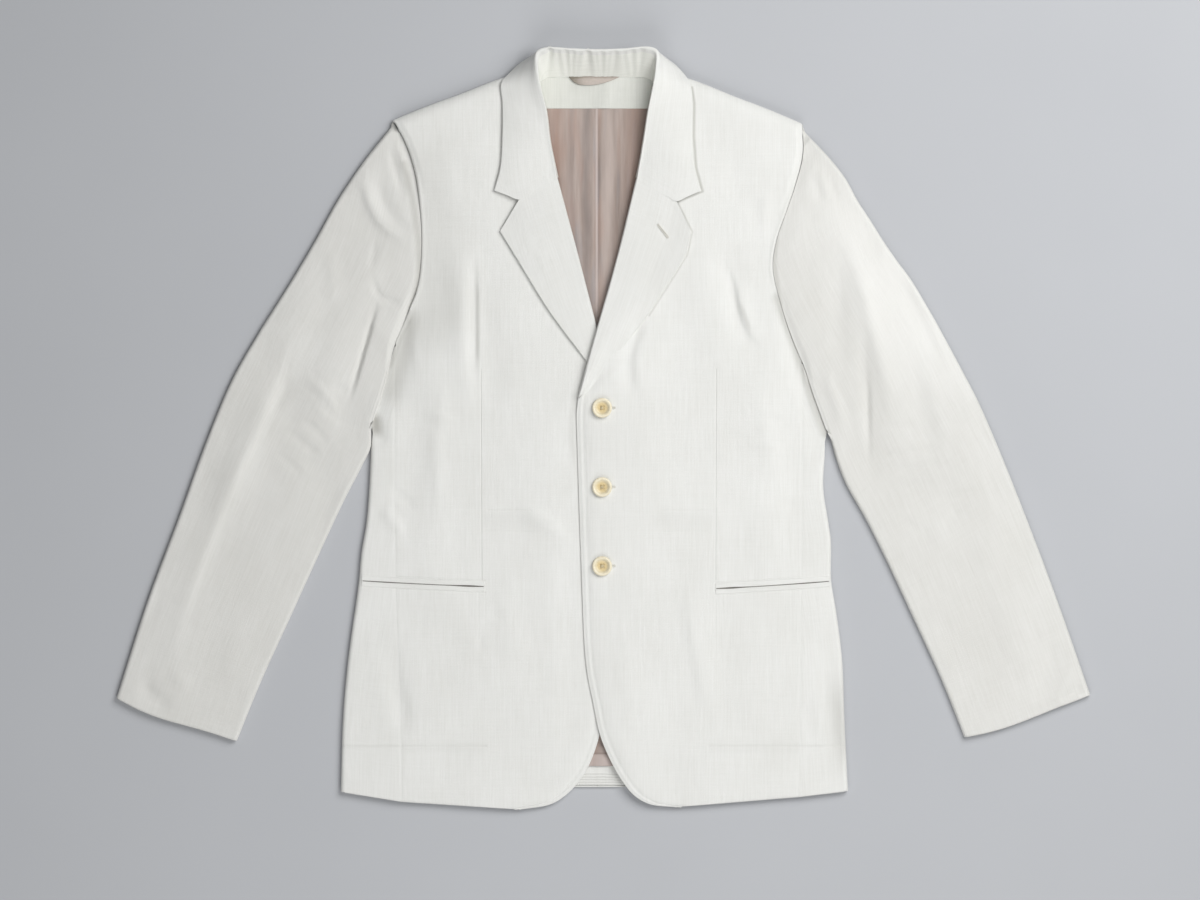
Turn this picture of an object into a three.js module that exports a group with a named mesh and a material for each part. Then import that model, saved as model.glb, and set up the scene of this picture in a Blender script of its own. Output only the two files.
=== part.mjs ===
// A blazer laid flat on its back, buttoned, with its sleeves down at its sides.
// Millimetres. +X is the wearer's left, +Y runs towards the collar, +Z is up from the table.
// "right" and "left" are the wearer's, and side is -1 for right and +1 for left.
import * as THREE from "three";

// Cloth and the gaps between layers
const GAP = 0.3; // between pieces at a seam
const BACK_CLOTH = 1.5;
const LINING_CLOTH = 1;
const FRONT_CLOTH = 3; // cloth, canvas and facing
const SIDE_CLOTH = 2.2;
const SLEEVE_CLOTH = 2.4;
const LAPEL_CLOTH = 2.3;
const STAND_CLOTH = 2;
const LAPEL_LIFT = 0.9; // of a lapel or the collar above the front that it lies on
const LINING_LOW = BACK_CLOTH + GAP;

// Heights above the table, and where a front rises
const MID = -6.7; // x of the centre line
const FRONT_HIGH = 7.8; // top of a front that lies on the lining
const SIDE_HIGH = 8.4; // folded thickness at the sides
const SLEEVE_HIGH = 7.6;
const UNDERARM_HIGH = 4.8; // top of the body where the sleeve lies against it
const ARMHOLE_HIGH = { seam: 8.6, corner: 6.1 };
const CHEST = { out: 105, y: 150, wide: 62, long: 100, high: 1.4 };
const PAD = { from: 190, to: 285, high: 5, thick: 3.5 }; // shoulder padding
const LAP = { outer: 80, inner: 18, top: 220, full: 120, high: 3.5 }; // the left front over the right
const LAPEL_LAP = { outer: 40, inner: 14, low: [42, 60], top: [130, 105], high: 3.3 }; // and over its lapel
const FOLDS_FROM = [22, 50]; // folds grow between these distances from the centre line
const SHOULDER = { edge: 14, bow: 4 }; // width of the rounding at its seam, and the seam's bow
const ARMHOLE_ROUND = 12; // width over which a front rises from its armhole

// Sections up each piece: low rows, rows under the arm, rows up the armhole and rows down the arm,
// and how much closer together they stand towards one end
const LOW_ROWS = 13;
const UNDERARM_ROWS = 4;
const CAP_ROWS = 9;
const ARM_ROWS = 13;
const CLOSER = { hem: 1.3, armhole: 1.35, neck: 1.2, cap: 1.25 };

// Outlines as x, y pairs, each from the hem upwards
const OUTLINE = {
  right: {
    seam: [[-207.5, -381.1], [-209.6, -280], [-213.7, -167], [-214.8, -53.6], [-214.8, 5]],
    seamHigh: [[-214.8, 5], [-214.6, 45], [-213.6, 84]],
    fold: [[-270.4, -372.9], [-268.3, -301], [-263, -239], [-251.8, -157], [-243.6, -95], [-240, -33],
      [-237.6, 5]],
    underarm: [[-238.2, 5], [-228.1, 39], [-215.4, 84]],
    armhole: [[-215.4, 84], [-200.6, 121], [-191.4, 145], [-187.5, 183], [-189, 224.5], [-195.2, 265.7],
      [-206.5, 297.7], [-217.8, 316.2]],
    edge: [[-86, -392.9], [-54.1, -387.3], [-37.6, -377], [-21.1, -358.4], [-9.8, -334.8], [0.5, -297],
      [7, -255], [12.9, -165], [13.9, -60], [13.5, 5]],
    edgeHigh: [[13.5, 5], [11, 38], [-5, 98]],
    neck: [[-5, 98], [-26.3, 179.2], [-47, 257], [-55, 294], [-60, 332], [-70, 364]],
    roll: [[3.4, 66.5], [-6.7, 104], [-26.3, 179.2], [-47, 256.6]],
    lapelEdge: [[-15.6, 65.5], [-18, 69], [-56.1, 119.9], [-89.1, 173.5], [-106.6, 201.9]],
    notch: [-86.5, 235.4],
    outerFold: [[-218.6, 306.5], [-245.7, 276], [-273.5, 234.8], [-320.8, 152.4], [-352, 103]],
    outerFoldLow: [[-501.1, -278.1], [-469.2, -177.2], [-438.3, -94.8], [-408.4, -12.4], [-380, 52],
      [-352, 103]],
    innerFold: [[-378, -322.6], [-352.8, -259.6], [-325, -197.8], [-297.2, -136], [-268.3, -74.2],
      [-247, -33], [-238.8, 4]],
  },
  left: {
    seam: [[200.3, -380.1], [202.4, -280], [203.4, -167], [204.5, -53.6], [204.5, -4]],
    seamHigh: [[204.5, -4], [204.7, 35], [204, 66]],
    fold: [[251.8, -372.9], [247.7, -301], [242.6, -239], [234.3, -157], [231.2, -95], [226.3, -60],
      [230.6, -4]],
    underarm: [[231.3, -4], [218.9, 29.9], [205.5, 65.9]],
    armhole: [[205.5, 65.9], [194.2, 92.7], [183.9, 123.6], [174.5, 165], [178.7, 194.7], [188, 221.5],
      [197.2, 248.2], [205.5, 282], [204.5, 313.1]],
    edge: [[74.7, -390.4], [47.9, -387.3], [31.4, -378], [16, -358.4], [4.6, -336.8], [-3.6, -316.2],
      [-11, -282], [-18, -244], [-23.2, -136], [-27.6, -4]],
    edgeHigh: [[-27.6, -4], [-27.6, 19], [-24.2, 41], [-12, 85]],
    neck: [[-12, 85], [12.9, 173], [33.5, 257], [40, 294], [46, 332], [56.6, 363]],
    roll: [[-26.7, 32], [-6.7, 103], [12.9, 173], [33.5, 256.6]],
    lapelEdge: [[-17, 36], [17, 78.3], [45.8, 116.4], [62.3, 142.1], [85, 178.2], [90.1, 201.9]],
    notch: [74.7, 233.8],
    outerFold: [[211.8, 301.5], [234.3, 276], [261.1, 234.8], [316.7, 152.4], [342, 110]],
    outerFoldLow: [[501.3, -275], [467.1, -177.2], [436.2, -94.8], [403.2, -12.4], [371, 55], [342, 110]],
    innerFold: [[372.6, -318.6], [348.7, -259.6], [319.8, -197.8], [291, -136], [270.4, -94.8],
      [247.7, -53.6], [231.9, -5]],
  },
};

// The back and what lies on it
const BACK = { hem: -369.8, neck: 361, columns: 4 };
const UNDER_WIDE = 55; // of each side panel's part under the back
const TURN_UP = { bottom: BACK.hem + 0.6, top: -330, halfWide: 182 };
const LINING = {
  bottom: -348, step: -324, stepLong: 5, top: 328.6, low: 180, neck: 62,
  levels: [-290, -200, -100, -20, 60, 120, 160, 200, 240, 285],
};
const PLEAT = { wide: 7, high: 0.9, from: -200, to: -100 };
const NECK_FACING = { bottom: LINING.top + GAP, middle: 345, top: 360.4, low: 60, high: 50 };
const LOOP = { y: 354.5, half: 27, sag: 3.8, end: 2.5, middle: 7.5, thick: 1, steps: 10 };

// The collar's sections from the right gorge round the neck to the left one: its ridge, its outer
// edge and its foot. An edge with no height lies on the front below it.
const COLLAR = [
  { ridge: [-47, 257.6, 16], edge: [-112.8, 244.6], foot: [-42.5, 258] },
  { ridge: [-51, 276, 17.5], edge: [-106.5, 268], foot: [-46.5, 276] },
  { ridge: [-55, 294, 20], edge: [-104.5, 300], foot: [-50, 294] },
  { ridge: [-59, 327, 25], edge: [-104.5, 334], foot: [-53, 326] },
  { ridge: [-65, 352, 29.5], edge: [-106, 354], foot: [-56.5, 345] },
  { ridge: [-67.5, 369, 32], edge: [-97, 364.5, 6], foot: [-57, 353] },
  { ridge: [-65.5, 382.5, 33], edge: [-81.5, 378.5, 3.5], foot: [-51, 358] },
  { ridge: [-56, 389.2, 33.5], edge: [-60, 385, 2.8], foot: [-42, 360.6] },
  { ridge: [-33, 388.6, 33], edge: [-34, 383.5, 2.8], foot: [-27, 361] },
  { ridge: [MID, 387.4, 32.5], edge: [MID, 382.5, 2.8], foot: [MID, 361] },
  { ridge: [19.6, 388.2, 33], edge: [20.6, 383.5, 2.8], foot: [14, 361] },
  { ridge: [42.5, 389.2, 33.5], edge: [47, 385, 2.8], foot: [29, 360.6] },
  { ridge: [52, 382.5, 33], edge: [68, 378.5, 3.5], foot: [38, 358] },
  { ridge: [53.5, 369, 32], edge: [83.5, 364.5, 6], foot: [43.5, 353] },
  { ridge: [51, 352, 29.5], edge: [92.2, 354], foot: [43, 345] },
  { ridge: [46, 327, 25], edge: [92, 334], foot: [40, 326] },
  { ridge: [41, 294, 20], edge: [91.5, 300], foot: [36, 294] },
  { ridge: [37.5, 276, 17.5], edge: [94, 268], foot: [33, 276] },
  { ridge: [33.5, 257.6, 16], edge: [100.4, 244.1], foot: [29, 258] },
];
const RIDGE = { wide: 2.6, drop: 0.7, inside: 0.8 }; // the collar's turn over its ridge
const FALL = { columns: 6, notchColumn: 4, swell: 3.2, plain: 8, inside: 6 };
const STAND = { foot: LINING_LOW + LINING_CLOTH + GAP + 0.8 * STAND_CLOTH, clear: GAP + 0.2 };

// Lapels: sections along the roll, round it, and out to the edge
const ROLL = { steps: 10, turns: 4, radius: 3.5, rise: 4, back: 5 }; // back is where the front stops short
const LAPEL = { columns: 6, notchColumn: 4, swell: 1.1 };
const TUCKED = { right: [0.45, 0.2], left: [0.2, 0] }; // share of the roll where the lapel lies flat

// Sleeves: flattened tubes, with a top sleeve that wraps both folds
const SLEEVE = { columns: 7, strip: 22, cuffBow: 3.6, bowRows: 4, foldShare: 3.2, stripShare: 0.35 };
const CAP_RISE = { at: 26, wide: 22, high: 1.8 };
const TURN_STEPS = 4; // round a fold
const SIDE_COLUMNS = 4;

// The largest folds, as soft ridges, or troughs where high is negative, between two points
const FOLDS = {
  right: [
    { from: [-146, 150], to: [-140, 60], wide: 18, high: 2.4 },
    { from: [-122, 140], to: [-120, 50], wide: 18, high: -1.4 },
    { from: [-150, -200], to: [-70, -290], wide: 30, high: 1.2 },
    { from: [-60, -60], to: [-40, -250], wide: 30, high: 1.2 },
    { from: [-196, 70], to: [-196, -60], wide: 18, high: -1.4 },
    { from: [-172, 50], to: [-176, -120], wide: 22, high: 1.2 },
  ],
  left: [
    { from: [130, 158], to: [151, 95], wide: 18, high: -1.6 },
    { from: [105, 165], to: [118, 95], wide: 20, high: 1.6 },
    { from: [60, -40], to: [75, -240], wide: 30, high: 1.2 },
    { from: [165, 60], to: [172, -120], wide: 24, high: 1.4 },
    { from: [192, 60], to: [196, -90], wide: 18, high: -1.2 },
  ],
  rightSleeve: [
    { from: [-313, 115], to: [-374, -48], wide: 20, high: 2.4 },
    { from: [-374, -48], to: [-447, -255], wide: 22, high: 1.8 },
    { from: [-227, 137], to: [-267, 15], wide: 18, high: -1.8 },
    { from: [-245, 150], to: [-295, 20], wide: 20, high: 1.4 },
    { from: [-242, 247], to: [-203, 203], wide: 18, high: 1.6 },
    { from: [-330, 45], to: [-285, -60], wide: 20, high: -1.4 },
  ],
  leftSleeve: [
    { from: [262, 154], to: [295, 23], wide: 20, high: 2 },
    { from: [271, 62], to: [273, -39], wide: 18, high: -1.6 },
    { from: [215, 250], to: [240, 205], wide: 16, high: 1.2 },
    { from: [285, -40], to: [355, -78], wide: 20, high: -1.4 },
    { from: [345, 60], to: [420, -190], wide: 22, high: 1.8 },
  ],
};

const BUTTON = { x: -1.5, y: [20.6, -60.8, -142.1], radius: 10.2, thick: 3.6, facets: 22 };
// Jets lie along a line of x, y across the front and the side panel, clear of the panels' facets
const JET = { wide: 5.6, thick: 1, lift: 0.75, steps: 14 };
const POCKET = {
  right: [[-247, -158.6], [-120, -166]],
  left: [[112, -167], [231, -158.7]],
};

const FINISH = {
  cloth: { color: 0xe4dfd3, roughness: 0.9, metalness: 0 },
  lining: { color: 0xab9c92, roughness: 0.6, metalness: 0 },
  button: { color: 0xddd3ba, roughness: 0.4, metalness: 0 },
};
const SIDES = [{ name: "right", side: -1 }, { name: "left", side: 1 }];

const group = new THREE.Group();
const mix = THREE.MathUtils.lerp;
const clamp = THREE.MathUtils.clamp;
const ramp = (from, to, value) => {
  const t = clamp((value - from) / (to - from), 0, 1);
  return t * t * (3 - 2 * t);
};
const bell = (...parts) => Math.exp(-parts.reduce((sum, part) => sum + part * part, 0));
const arch = (t) => 4 * t * (1 - t);
const sideOf = (x) => (x < MID ? "right" : "left");
const smooth = (points) => new THREE.CatmullRomCurve3(points, false, "centripetal");

// A point a fraction of the way along a smooth line through x, y pairs
function along(line, fraction) {
  return smooth(line.map(([x, y]) => new THREE.Vector3(x, y, 0))).getPointAt(clamp(fraction, 0, 1));
}

// Points along a line, closer together near its start where power is over 1
function spaced(line, steps, power = 1) {
  return Array.from({ length: steps + 1 }, (_, i) => along(line, (i / steps) ** power));
}

// Points that end closer together, for the top of an armhole
function spacedToTop(line, steps, power) {
  return Array.from({ length: steps + 1 }, (_, i) => along(line, 1 - (1 - i / steps) ** power));
}
const joined = (...lists) => lists.flatMap((list, i) => (i ? list.slice(1) : list));

// The points that the body and its sleeve share up the armhole
const armholePoints = (outline) => spacedToTop(outline.armhole, CAP_ROWS, CLOSER.armhole);

// Height of the soft ridges and troughs at a point
function folds(list, x, y) {
  let high = 0;
  for (const fold of list) {
    const [ax, ay] = fold.from;
    const [bx, by] = fold.to;
    const long = Math.hypot(bx - ax, by - ay);
    const t = ((x - ax) * (bx - ax) + (y - ay) * (by - ay)) / long;
    const beyond = Math.max(0, -t, t - long);
    const across = ((x - ax) * (by - ay) - (y - ay) * (bx - ax)) / long;
    high += fold.high * bell(across / fold.wide, beyond / (2 * fold.wide));
  }
  return high;
}

// A closed wall of cloth. rows is a grid of points on its outer face, and thick is its thickness,
// or a function of point and row. Where square is true, its first and last columns are cut
// straight down, as are whole rows that upright picks.
function wall(name, finish, rows, thick, { square = true, upright = () => false } = {}) {
  const high = rows.length;
  const wide = rows[0].length;
  const flip = facing(rows);
  const inner = rows.map((row, i) => row.map((point, j) => {
    const up = rows[Math.min(i + 1, high - 1)][j].clone().sub(rows[Math.max(i - 1, 0)][j]);
    const over = rows[i][Math.min(j + 1, wide - 1)].clone().sub(rows[i][Math.max(j - 1, 0)]);
    const normal = over.cross(up).normalize().multiplyScalar(flip);
    if (square && (j === 0 || j === wide - 1)) normal.set(0, 0, Math.sign(normal.z) || 1);
    if (upright(i)) normal.set(0, 0, 1);
    const depth = typeof thick === "function" ? thick(point, i) : thick;
    return point.clone().addScaledVector(normal, -depth);
  }));
  const points = [...rows.flat(), ...inner.flat()];
  const at = (i, j, face) => face * high * wide + i * wide + j;
  const faces = [];
  const quad = (a, b, c, d) => faces.push(a, b, c, a, c, d);
  for (let i = 0; i < high - 1; i++) {
    for (let j = 0; j < wide - 1; j++) {
      quad(at(i, j, 0), at(i, j + 1, 0), at(i + 1, j + 1, 0), at(i + 1, j, 0));
      quad(at(i, j, 1), at(i + 1, j, 1), at(i + 1, j + 1, 1), at(i, j + 1, 1));
    }
    quad(at(i, 0, 0), at(i + 1, 0, 0), at(i + 1, 0, 1), at(i, 0, 1));
    quad(at(i, wide - 1, 0), at(i, wide - 1, 1), at(i + 1, wide - 1, 1), at(i + 1, wide - 1, 0));
  }
  for (let j = 0; j < wide - 1; j++) {
    quad(at(0, j, 0), at(0, j, 1), at(0, j + 1, 1), at(0, j + 1, 0));
    quad(at(high - 1, j, 0), at(high - 1, j + 1, 0), at(high - 1, j + 1, 1), at(high - 1, j, 1));
  }
  closed(name, finish, points, faces);
}

// +1 where the grid's normals already point out of the cloth: what lies higher faces up
function facing(rows) {
  let upward = 0;
  for (let i = 0; i < rows.length - 1; i++) {
    for (let j = 0; j < rows[i].length - 1; j++) {
      const corner = rows[i][j];
      const normal = rows[i][j + 1].clone().sub(corner).cross(rows[i + 1][j].clone().sub(corner));
      upward += normal.z * corner.z;
    }
  }
  return Math.sign(upward);
}

// A mesh from points and faces, turned to face out
function closed(name, finish, points, faces) {
  let volume = 0;
  for (let i = 0; i < faces.length; i += 3) {
    const [a, b, c] = [points[faces[i]], points[faces[i + 1]], points[faces[i + 2]]];
    volume += a.dot(b.clone().cross(c));
  }
  if (volume < 0) faces.reverse();
  const geometry = new THREE.BufferGeometry();
  const numbers = points.flatMap((point) => point.toArray());
  geometry.setAttribute("position", new THREE.Float32BufferAttribute(numbers, 3));
  geometry.setIndex(faces);
  geometry.computeVertexNormals();
  add(name, finish, geometry);
}

function add(name, finish, geometry) {
  const mesh = new THREE.Mesh(geometry, new THREE.MeshStandardMaterial(FINISH[finish]));
  mesh.name = name;
  group.add(mesh);
  return mesh;
}

// The y of the shoulder seam at x, a line with a slight bow
function shoulderLine(x, name) {
  const [cornerX, cornerY] = OUTLINE[name].armhole.at(-1);
  const [neckX, neckY] = OUTLINE[name].neck.at(-1);
  const t = clamp((x - cornerX) / (neckX - cornerX), 0, 1);
  return mix(cornerY, neckY, t) + SHOULDER.bow * arch(t);
}

// Share of the way from the shoulder seam to the full height of a front
const fromShoulder = (x, y, name) => clamp((shoulderLine(x, name) - y) / SHOULDER.edge, 0, 1);

// Top of a front at x, y
function frontTop(x, y, name) {
  const out = Math.abs(x - MID);
  let z = FRONT_HIGH + PAD.high * ramp(PAD.from, PAD.to, y);
  z += CHEST.high * bell((out - CHEST.out) / CHEST.wide, (y - CHEST.y) / CHEST.long);
  z += folds(FOLDS[name], x, y) * ramp(...FOLDS_FROM, out);
  if (name === "left") {
    z += LAP.high * ramp(LAP.outer, LAP.inner, x) * ramp(LAP.top, LAP.full, y);
    z += LAPEL_LAP.high * ramp(LAPEL_LAP.outer, LAPEL_LAP.inner, x)
      * ramp(...LAPEL_LAP.low, y) * ramp(...LAPEL_LAP.top, y);
  }
  const rounded = Math.sqrt(1 - (1 - fromShoulder(x, y, name)) ** 2);
  return mix(UNDERARM_HIGH, z, rounded);
}

// A front is thicker where its shoulder is padded
function frontThick({ x, y }) {
  const inside = Math.max(fromShoulder(x, y, sideOf(x)) - 0.3, 0);
  return FRONT_CLOTH + PAD.thick * inside * ramp(PAD.from, PAD.to, y);
}

// Height of the body against the sleeve, for row i of a panel
function armholeHigh(i) {
  const cap = (i - LOW_ROWS - UNDERARM_ROWS) / CAP_ROWS;
  const rising = mix(UNDERARM_HIGH, ARMHOLE_HIGH.seam, ramp(0, 0.45, cap));
  return rising + (ARMHOLE_HIGH.corner - ARMHOLE_HIGH.seam) * ramp(0.85, 1, cap);
}

// A front, section by section from the hem to the shoulder
function front({ name, side }) {
  const outline = OUTLINE[name];
  const columns = 11;
  const sidePoints = joined(spaced(outline.seam, LOW_ROWS, CLOSER.hem),
    spaced(outline.seamHigh, UNDERARM_ROWS), armholePoints(outline));
  const edgePoints = joined(spaced(outline.edge, LOW_ROWS, CLOSER.hem),
    spaced(outline.edgeHigh, UNDERARM_ROWS), spacedToTop(outline.neck, CAP_ROWS, CLOSER.neck));
  const rows = sidePoints.map((start, i) => {
    const end = edgePoints[i];
    end.x += side * ROLL.back * ramp(LOW_ROWS + 0.5, LOW_ROWS + 2, i);
    return Array.from({ length: columns + 1 }, (_, j) => {
      const v = j / columns;
      const point = start.clone().lerp(end, v);
      point.x -= side * GAP * (1 - v) ** 8;
      if (i === sidePoints.length - 1) point.y = shoulderLine(point.x, name);
      const high = frontTop(point.x, point.y, name);
      const low = i > LOW_ROWS + UNDERARM_ROWS ? Math.min(high, armholeHigh(i)) : high;
      point.z = mix(low, high, ramp(0, ARMHOLE_ROUND, Math.abs(point.x - start.x)));
      return point;
    });
  });
  wall(`front_${name}`, "cloth", rows, frontThick);
}

// Width of a side panel's part under the back, for row i
const underWide = (i) => UNDER_WIDE * ramp(LOW_ROWS, LOW_ROWS - 4, i);

// Half of a turn, as distances out from the fold's centre and heights
function turned(radius) {
  return Array.from({ length: TURN_STEPS }, (_, j) => {
    const angle = Math.PI * (j + 1) / TURN_STEPS;
    return [radius * Math.sin(angle), radius + radius * Math.cos(angle)];
  });
}

// A flat end with as many columns as a turned one
function unturned(width, radius) {
  const steps = TURN_STEPS + 1;
  return Array.from({ length: steps }, (_, j) => [width - radius * (1 - (j + 1) / steps), 2 * radius]);
}

// The end of a section: round the fold and under for a strip, or flat
function ending(width, radius, strip, isTurned) {
  if (!isTurned) return unturned(width, radius);
  return [...turned(radius).map(([d, high]) => [width - radius + d, high]), [width - strip, 0]];
}

// A side panel: from the side seam over the side fold and in underneath
function sidePanel({ name, side }) {
  const outline = OUTLINE[name];
  const seam = joined(spaced(outline.seam, LOW_ROWS, CLOSER.hem), spaced(outline.seamHigh, UNDERARM_ROWS));
  const fold = joined(spaced(outline.fold, LOW_ROWS, CLOSER.hem), spaced(outline.underarm, UNDERARM_ROWS));
  const rows = seam.map((start, i) => {
    const isTurned = i <= LOW_ROWS;
    const width = Math.abs(fold[i].x - start.x);
    const radius = isTurned ? SIDE_HIGH / 2 : Math.min(SIDE_HIGH / 2, width / 2);
    const flat = Array.from({ length: SIDE_COLUMNS + 1 }, (_, j) => (
      [(width - radius) * j / SIDE_COLUMNS, 2 * radius]));
    const strip = Math.max(underWide(i), radius + 1);
    return [...flat, ...ending(width, radius, strip, isTurned)].map(([distance, high], j) => {
      const t = distance / width;
      const point = start.clone().lerp(fold[i], clamp(t, 0, 1));
      if (j > SIDE_COLUMNS) point.y = fold[i].y;
      point.x = start.x + side * (distance + (j ? 0 : GAP) - (isTurned ? 0 : 2 * GAP * t));
      const top = frontTop(point.x, point.y, name);
      const lying = isTurned ? top : mix(top, UNDERARM_HIGH, ramp(0, 1, t));
      const half = SIDE_HIGH / 2;
      point.z = high > half ? mix(half, lying, (high - half) / half) : high;
      if (!isTurned) point.z = lying;
      return point;
    });
  });
  wall(`side_panel_${name}`, "cloth", rows, SIDE_CLOTH, { upright: (i) => i > LOW_ROWS });
}

// The back lies flat on the table, from seam to seam and up to the shoulders and the neck
function back() {
  const edges = SIDES.map(({ name, side }) => {
    const outline = OUTLINE[name];
    return joined(spaced(outline.fold, LOW_ROWS, CLOSER.hem), spaced(outline.underarm, UNDERARM_ROWS),
      armholePoints(outline)).map((point, i) => {
      const inward = i > LOW_ROWS ? 2 * GAP : Math.max(underWide(i), SIDE_HIGH / 2 + 1) + GAP;
      return point.setX(point.x - side * inward);
    });
  });
  const last = edges[0].length - 1;
  const rows = edges[0].map((start, i) => Array.from({ length: BACK.columns + 1 }, (_, j) => {
    const point = start.clone().lerp(edges[1][i], j / BACK.columns).setZ(BACK_CLOTH);
    if (i === 0) point.y = BACK.hem;
    if (i === last) point.y = Math.min(shoulderLine(point.x, sideOf(point.x)), BACK.neck) - GAP;
    return point;
  }));
  wall("back", "cloth", rows, BACK_CLOTH);
}

// A layer that lies inside the back, through levels of y, with its half width and lower face
function backLayer(name, finish, { levels, halfWide, low, columns }) {
  const rows = levels.map((y) => Array.from({ length: columns + 1 }, (_, j) => {
    const x = MID + halfWide(y) * mix(-1, 1, j / columns);
    return new THREE.Vector3(x, y, low(x, y) + LINING_CLOTH);
  }));
  wall(name, finish, rows, LINING_CLOTH);
}

// The turned-up hem, the lining that steps over it and has a centre pleat, and the neck facing
function backInside() {
  backLayer("back_hem_turn_up", "cloth", {
    levels: [TURN_UP.bottom, TURN_UP.top],
    halfWide: () => TURN_UP.halfWide,
    low: () => LINING_LOW,
    columns: 4,
  });
  const stepEnd = LINING.step - LINING.stepLong;
  const lift = (y) => (LINING_CLOTH + GAP) * ramp(LINING.step, stepEnd, y);
  const pleat = (x, y) => PLEAT.high * bell((x - MID) / PLEAT.wide) * ramp(PLEAT.from, PLEAT.to, y);
  backLayer("back_lining", "lining", {
    levels: [LINING.bottom, stepEnd, LINING.step, ...LINING.levels, LINING.top],
    halfWide: (y) => mix(LINING.low, LINING.neck, ramp(90, 300, y)),
    low: (x, y) => LINING_LOW + lift(y) + pleat(x, y),
    columns: 12,
  });
  backLayer("back_neck_facing", "cloth", {
    levels: [NECK_FACING.bottom, NECK_FACING.middle, NECK_FACING.top],
    halfWide: (y) => mix(NECK_FACING.low, NECK_FACING.high, ramp(NECK_FACING.bottom, NECK_FACING.top, y)),
    low: () => LINING_LOW,
    columns: 6,
  });
}

// A narrow tape that sags from the stand's seam in a crescent
function hangerLoop() {
  const top = LINING_LOW + LINING_CLOTH + GAP + LOOP.thick;
  const rows = Array.from({ length: LOOP.steps + 1 }, (_, i) => {
    const t = mix(-1, 1, i / LOOP.steps);
    const wide = mix(LOOP.middle, LOOP.end, t * t);
    const centre = new THREE.Vector3(MID + LOOP.half * t, LOOP.y + LOOP.sag * t * t, top);
    return [-0.5, 0.5].map((v) => centre.clone().setY(centre.y + v * wide));
  });
  wall("hanger_loop", "lining", rows, LOOP.thick);
}

// Share of the pull towards the notch, rising to its column and falling to the edge
function notchShare(v, at) {
  return v < at ? v / at : (1 - v) / (1 - at);
}

// A lapel: round the roll from the front's own edge, and over the front to the lapel's edge
function lapel({ name }) {
  const outline = OUTLINE[name];
  const edgePoints = spaced(outline.lapelEdge, ROLL.steps);
  const rows = spaced(outline.roll, ROLL.steps).map((roll, i) => {
    const u = i / ROLL.steps;
    const edge = edgePoints[i];
    const top = frontTop(roll.x, roll.y, name);
    const low = top - FRONT_CLOTH;
    const open = mix(top + ROLL.rise, COLLAR[0].ridge[2], ramp(0.5, 1, u));
    const high = mix(open, top + LAPEL_CLOTH + 2 * GAP, ramp(...TUCKED[name], u));
    const radius = Math.min((high - low) / 2, ROLL.radius);
    const direction = edge.clone().sub(roll).normalize();
    const turn = Array.from({ length: ROLL.turns + 1 }, (_, j) => {
      const angle = Math.PI * j / ROLL.turns;
      const point = roll.clone().addScaledVector(direction, radius * (1 - Math.sin(angle)));
      return point.setZ(mix(low, high, (1 - Math.cos(angle)) / 2));
    });
    const start = roll.clone().addScaledVector(direction, radius).setZ(high);
    const flat = Array.from({ length: LAPEL.columns }, (_, j) => (
      lapelPoint(start, edge, u, (j + 1) / LAPEL.columns, name)));
    return [...turn, ...flat];
  });
  wall(`lapel_${name}`, "cloth", rows, LAPEL_CLOTH, { square: false });
}

// A point of the lapel, u of the way up the roll and v of the way from the roll to the edge
function lapelPoint(start, edge, u, v, name) {
  const notch = new THREE.Vector2(...OUTLINE[name].notch);
  const at = LAPEL.notchColumn / LAPEL.columns;
  const point = start.clone().lerp(edge, v);
  const pull = notchShare(v, at) * u ** 6;
  point.x += (notch.x - mix(start.x, edge.x, at)) * pull;
  point.y += (notch.y - mix(start.y, edge.y, at)) * pull;
  const lying = frontTop(point.x, point.y, name) + LAPEL_LIFT + LAPEL_CLOTH;
  const rise = Math.max(start.z - lying, 0) * (1 - v) ** 1.6;
  return point.setZ(lying + rise + LAPEL.swell * Math.sin(Math.PI * v) * u);
}

// A smooth line through one column of the collar's table
function collarLine(key) {
  return smooth(COLLAR.map((station) => {
    const [x, y, z] = station[key];
    return new THREE.Vector3(x, y, z ?? frontTop(x, y, sideOf(x)) + LAPEL_LIFT + LAPEL_CLOTH);
  }));
}

// The collar turns over its ridge and falls to its edge, and its stand goes down inside the neck
function collar() {
  const [ridge, edge, foot] = ["ridge", "edge", "foot"].map(collarLine);
  const steps = 2 * (COLLAR.length - 1);
  const fallRows = [];
  const standRows = [];
  for (let i = 0; i <= steps; i++) {
    const t = i / steps;
    const top = ridge.getPoint(t);
    const end = edge.getPoint(t);
    const low = foot.getPoint(t).setZ(STAND.foot);
    const outward = end.clone().sub(low).setZ(0).normalize();
    const down = (distance) => top.clone().lerp(low, distance / top.distanceTo(low));
    const turn = top.clone().setZ(top.z - RIDGE.inside);
    const start = top.clone().addScaledVector(outward, RIDGE.wide).setZ(top.z - RIDGE.drop);
    const gorge = Math.min(t, 1 - t) * steps;
    const fall = Array.from({ length: FALL.columns }, (_, j) => (
      fallPoint(start, end, (j + 1) / FALL.columns, gorge)));
    fallRows.push([down(FALL.inside), turn, start, ...fall]);
    const standTop = down(FALL.inside + STAND.clear);
    standRows.push([0, 0.35, 0.7, 1].map((v) => low.clone().lerp(standTop, v)));
  }
  wall("collar", "cloth", fallRows, LAPEL_CLOTH, { square: false });
  wall("collar_stand", "cloth", standRows, STAND_CLOTH, { square: false });
}

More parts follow.
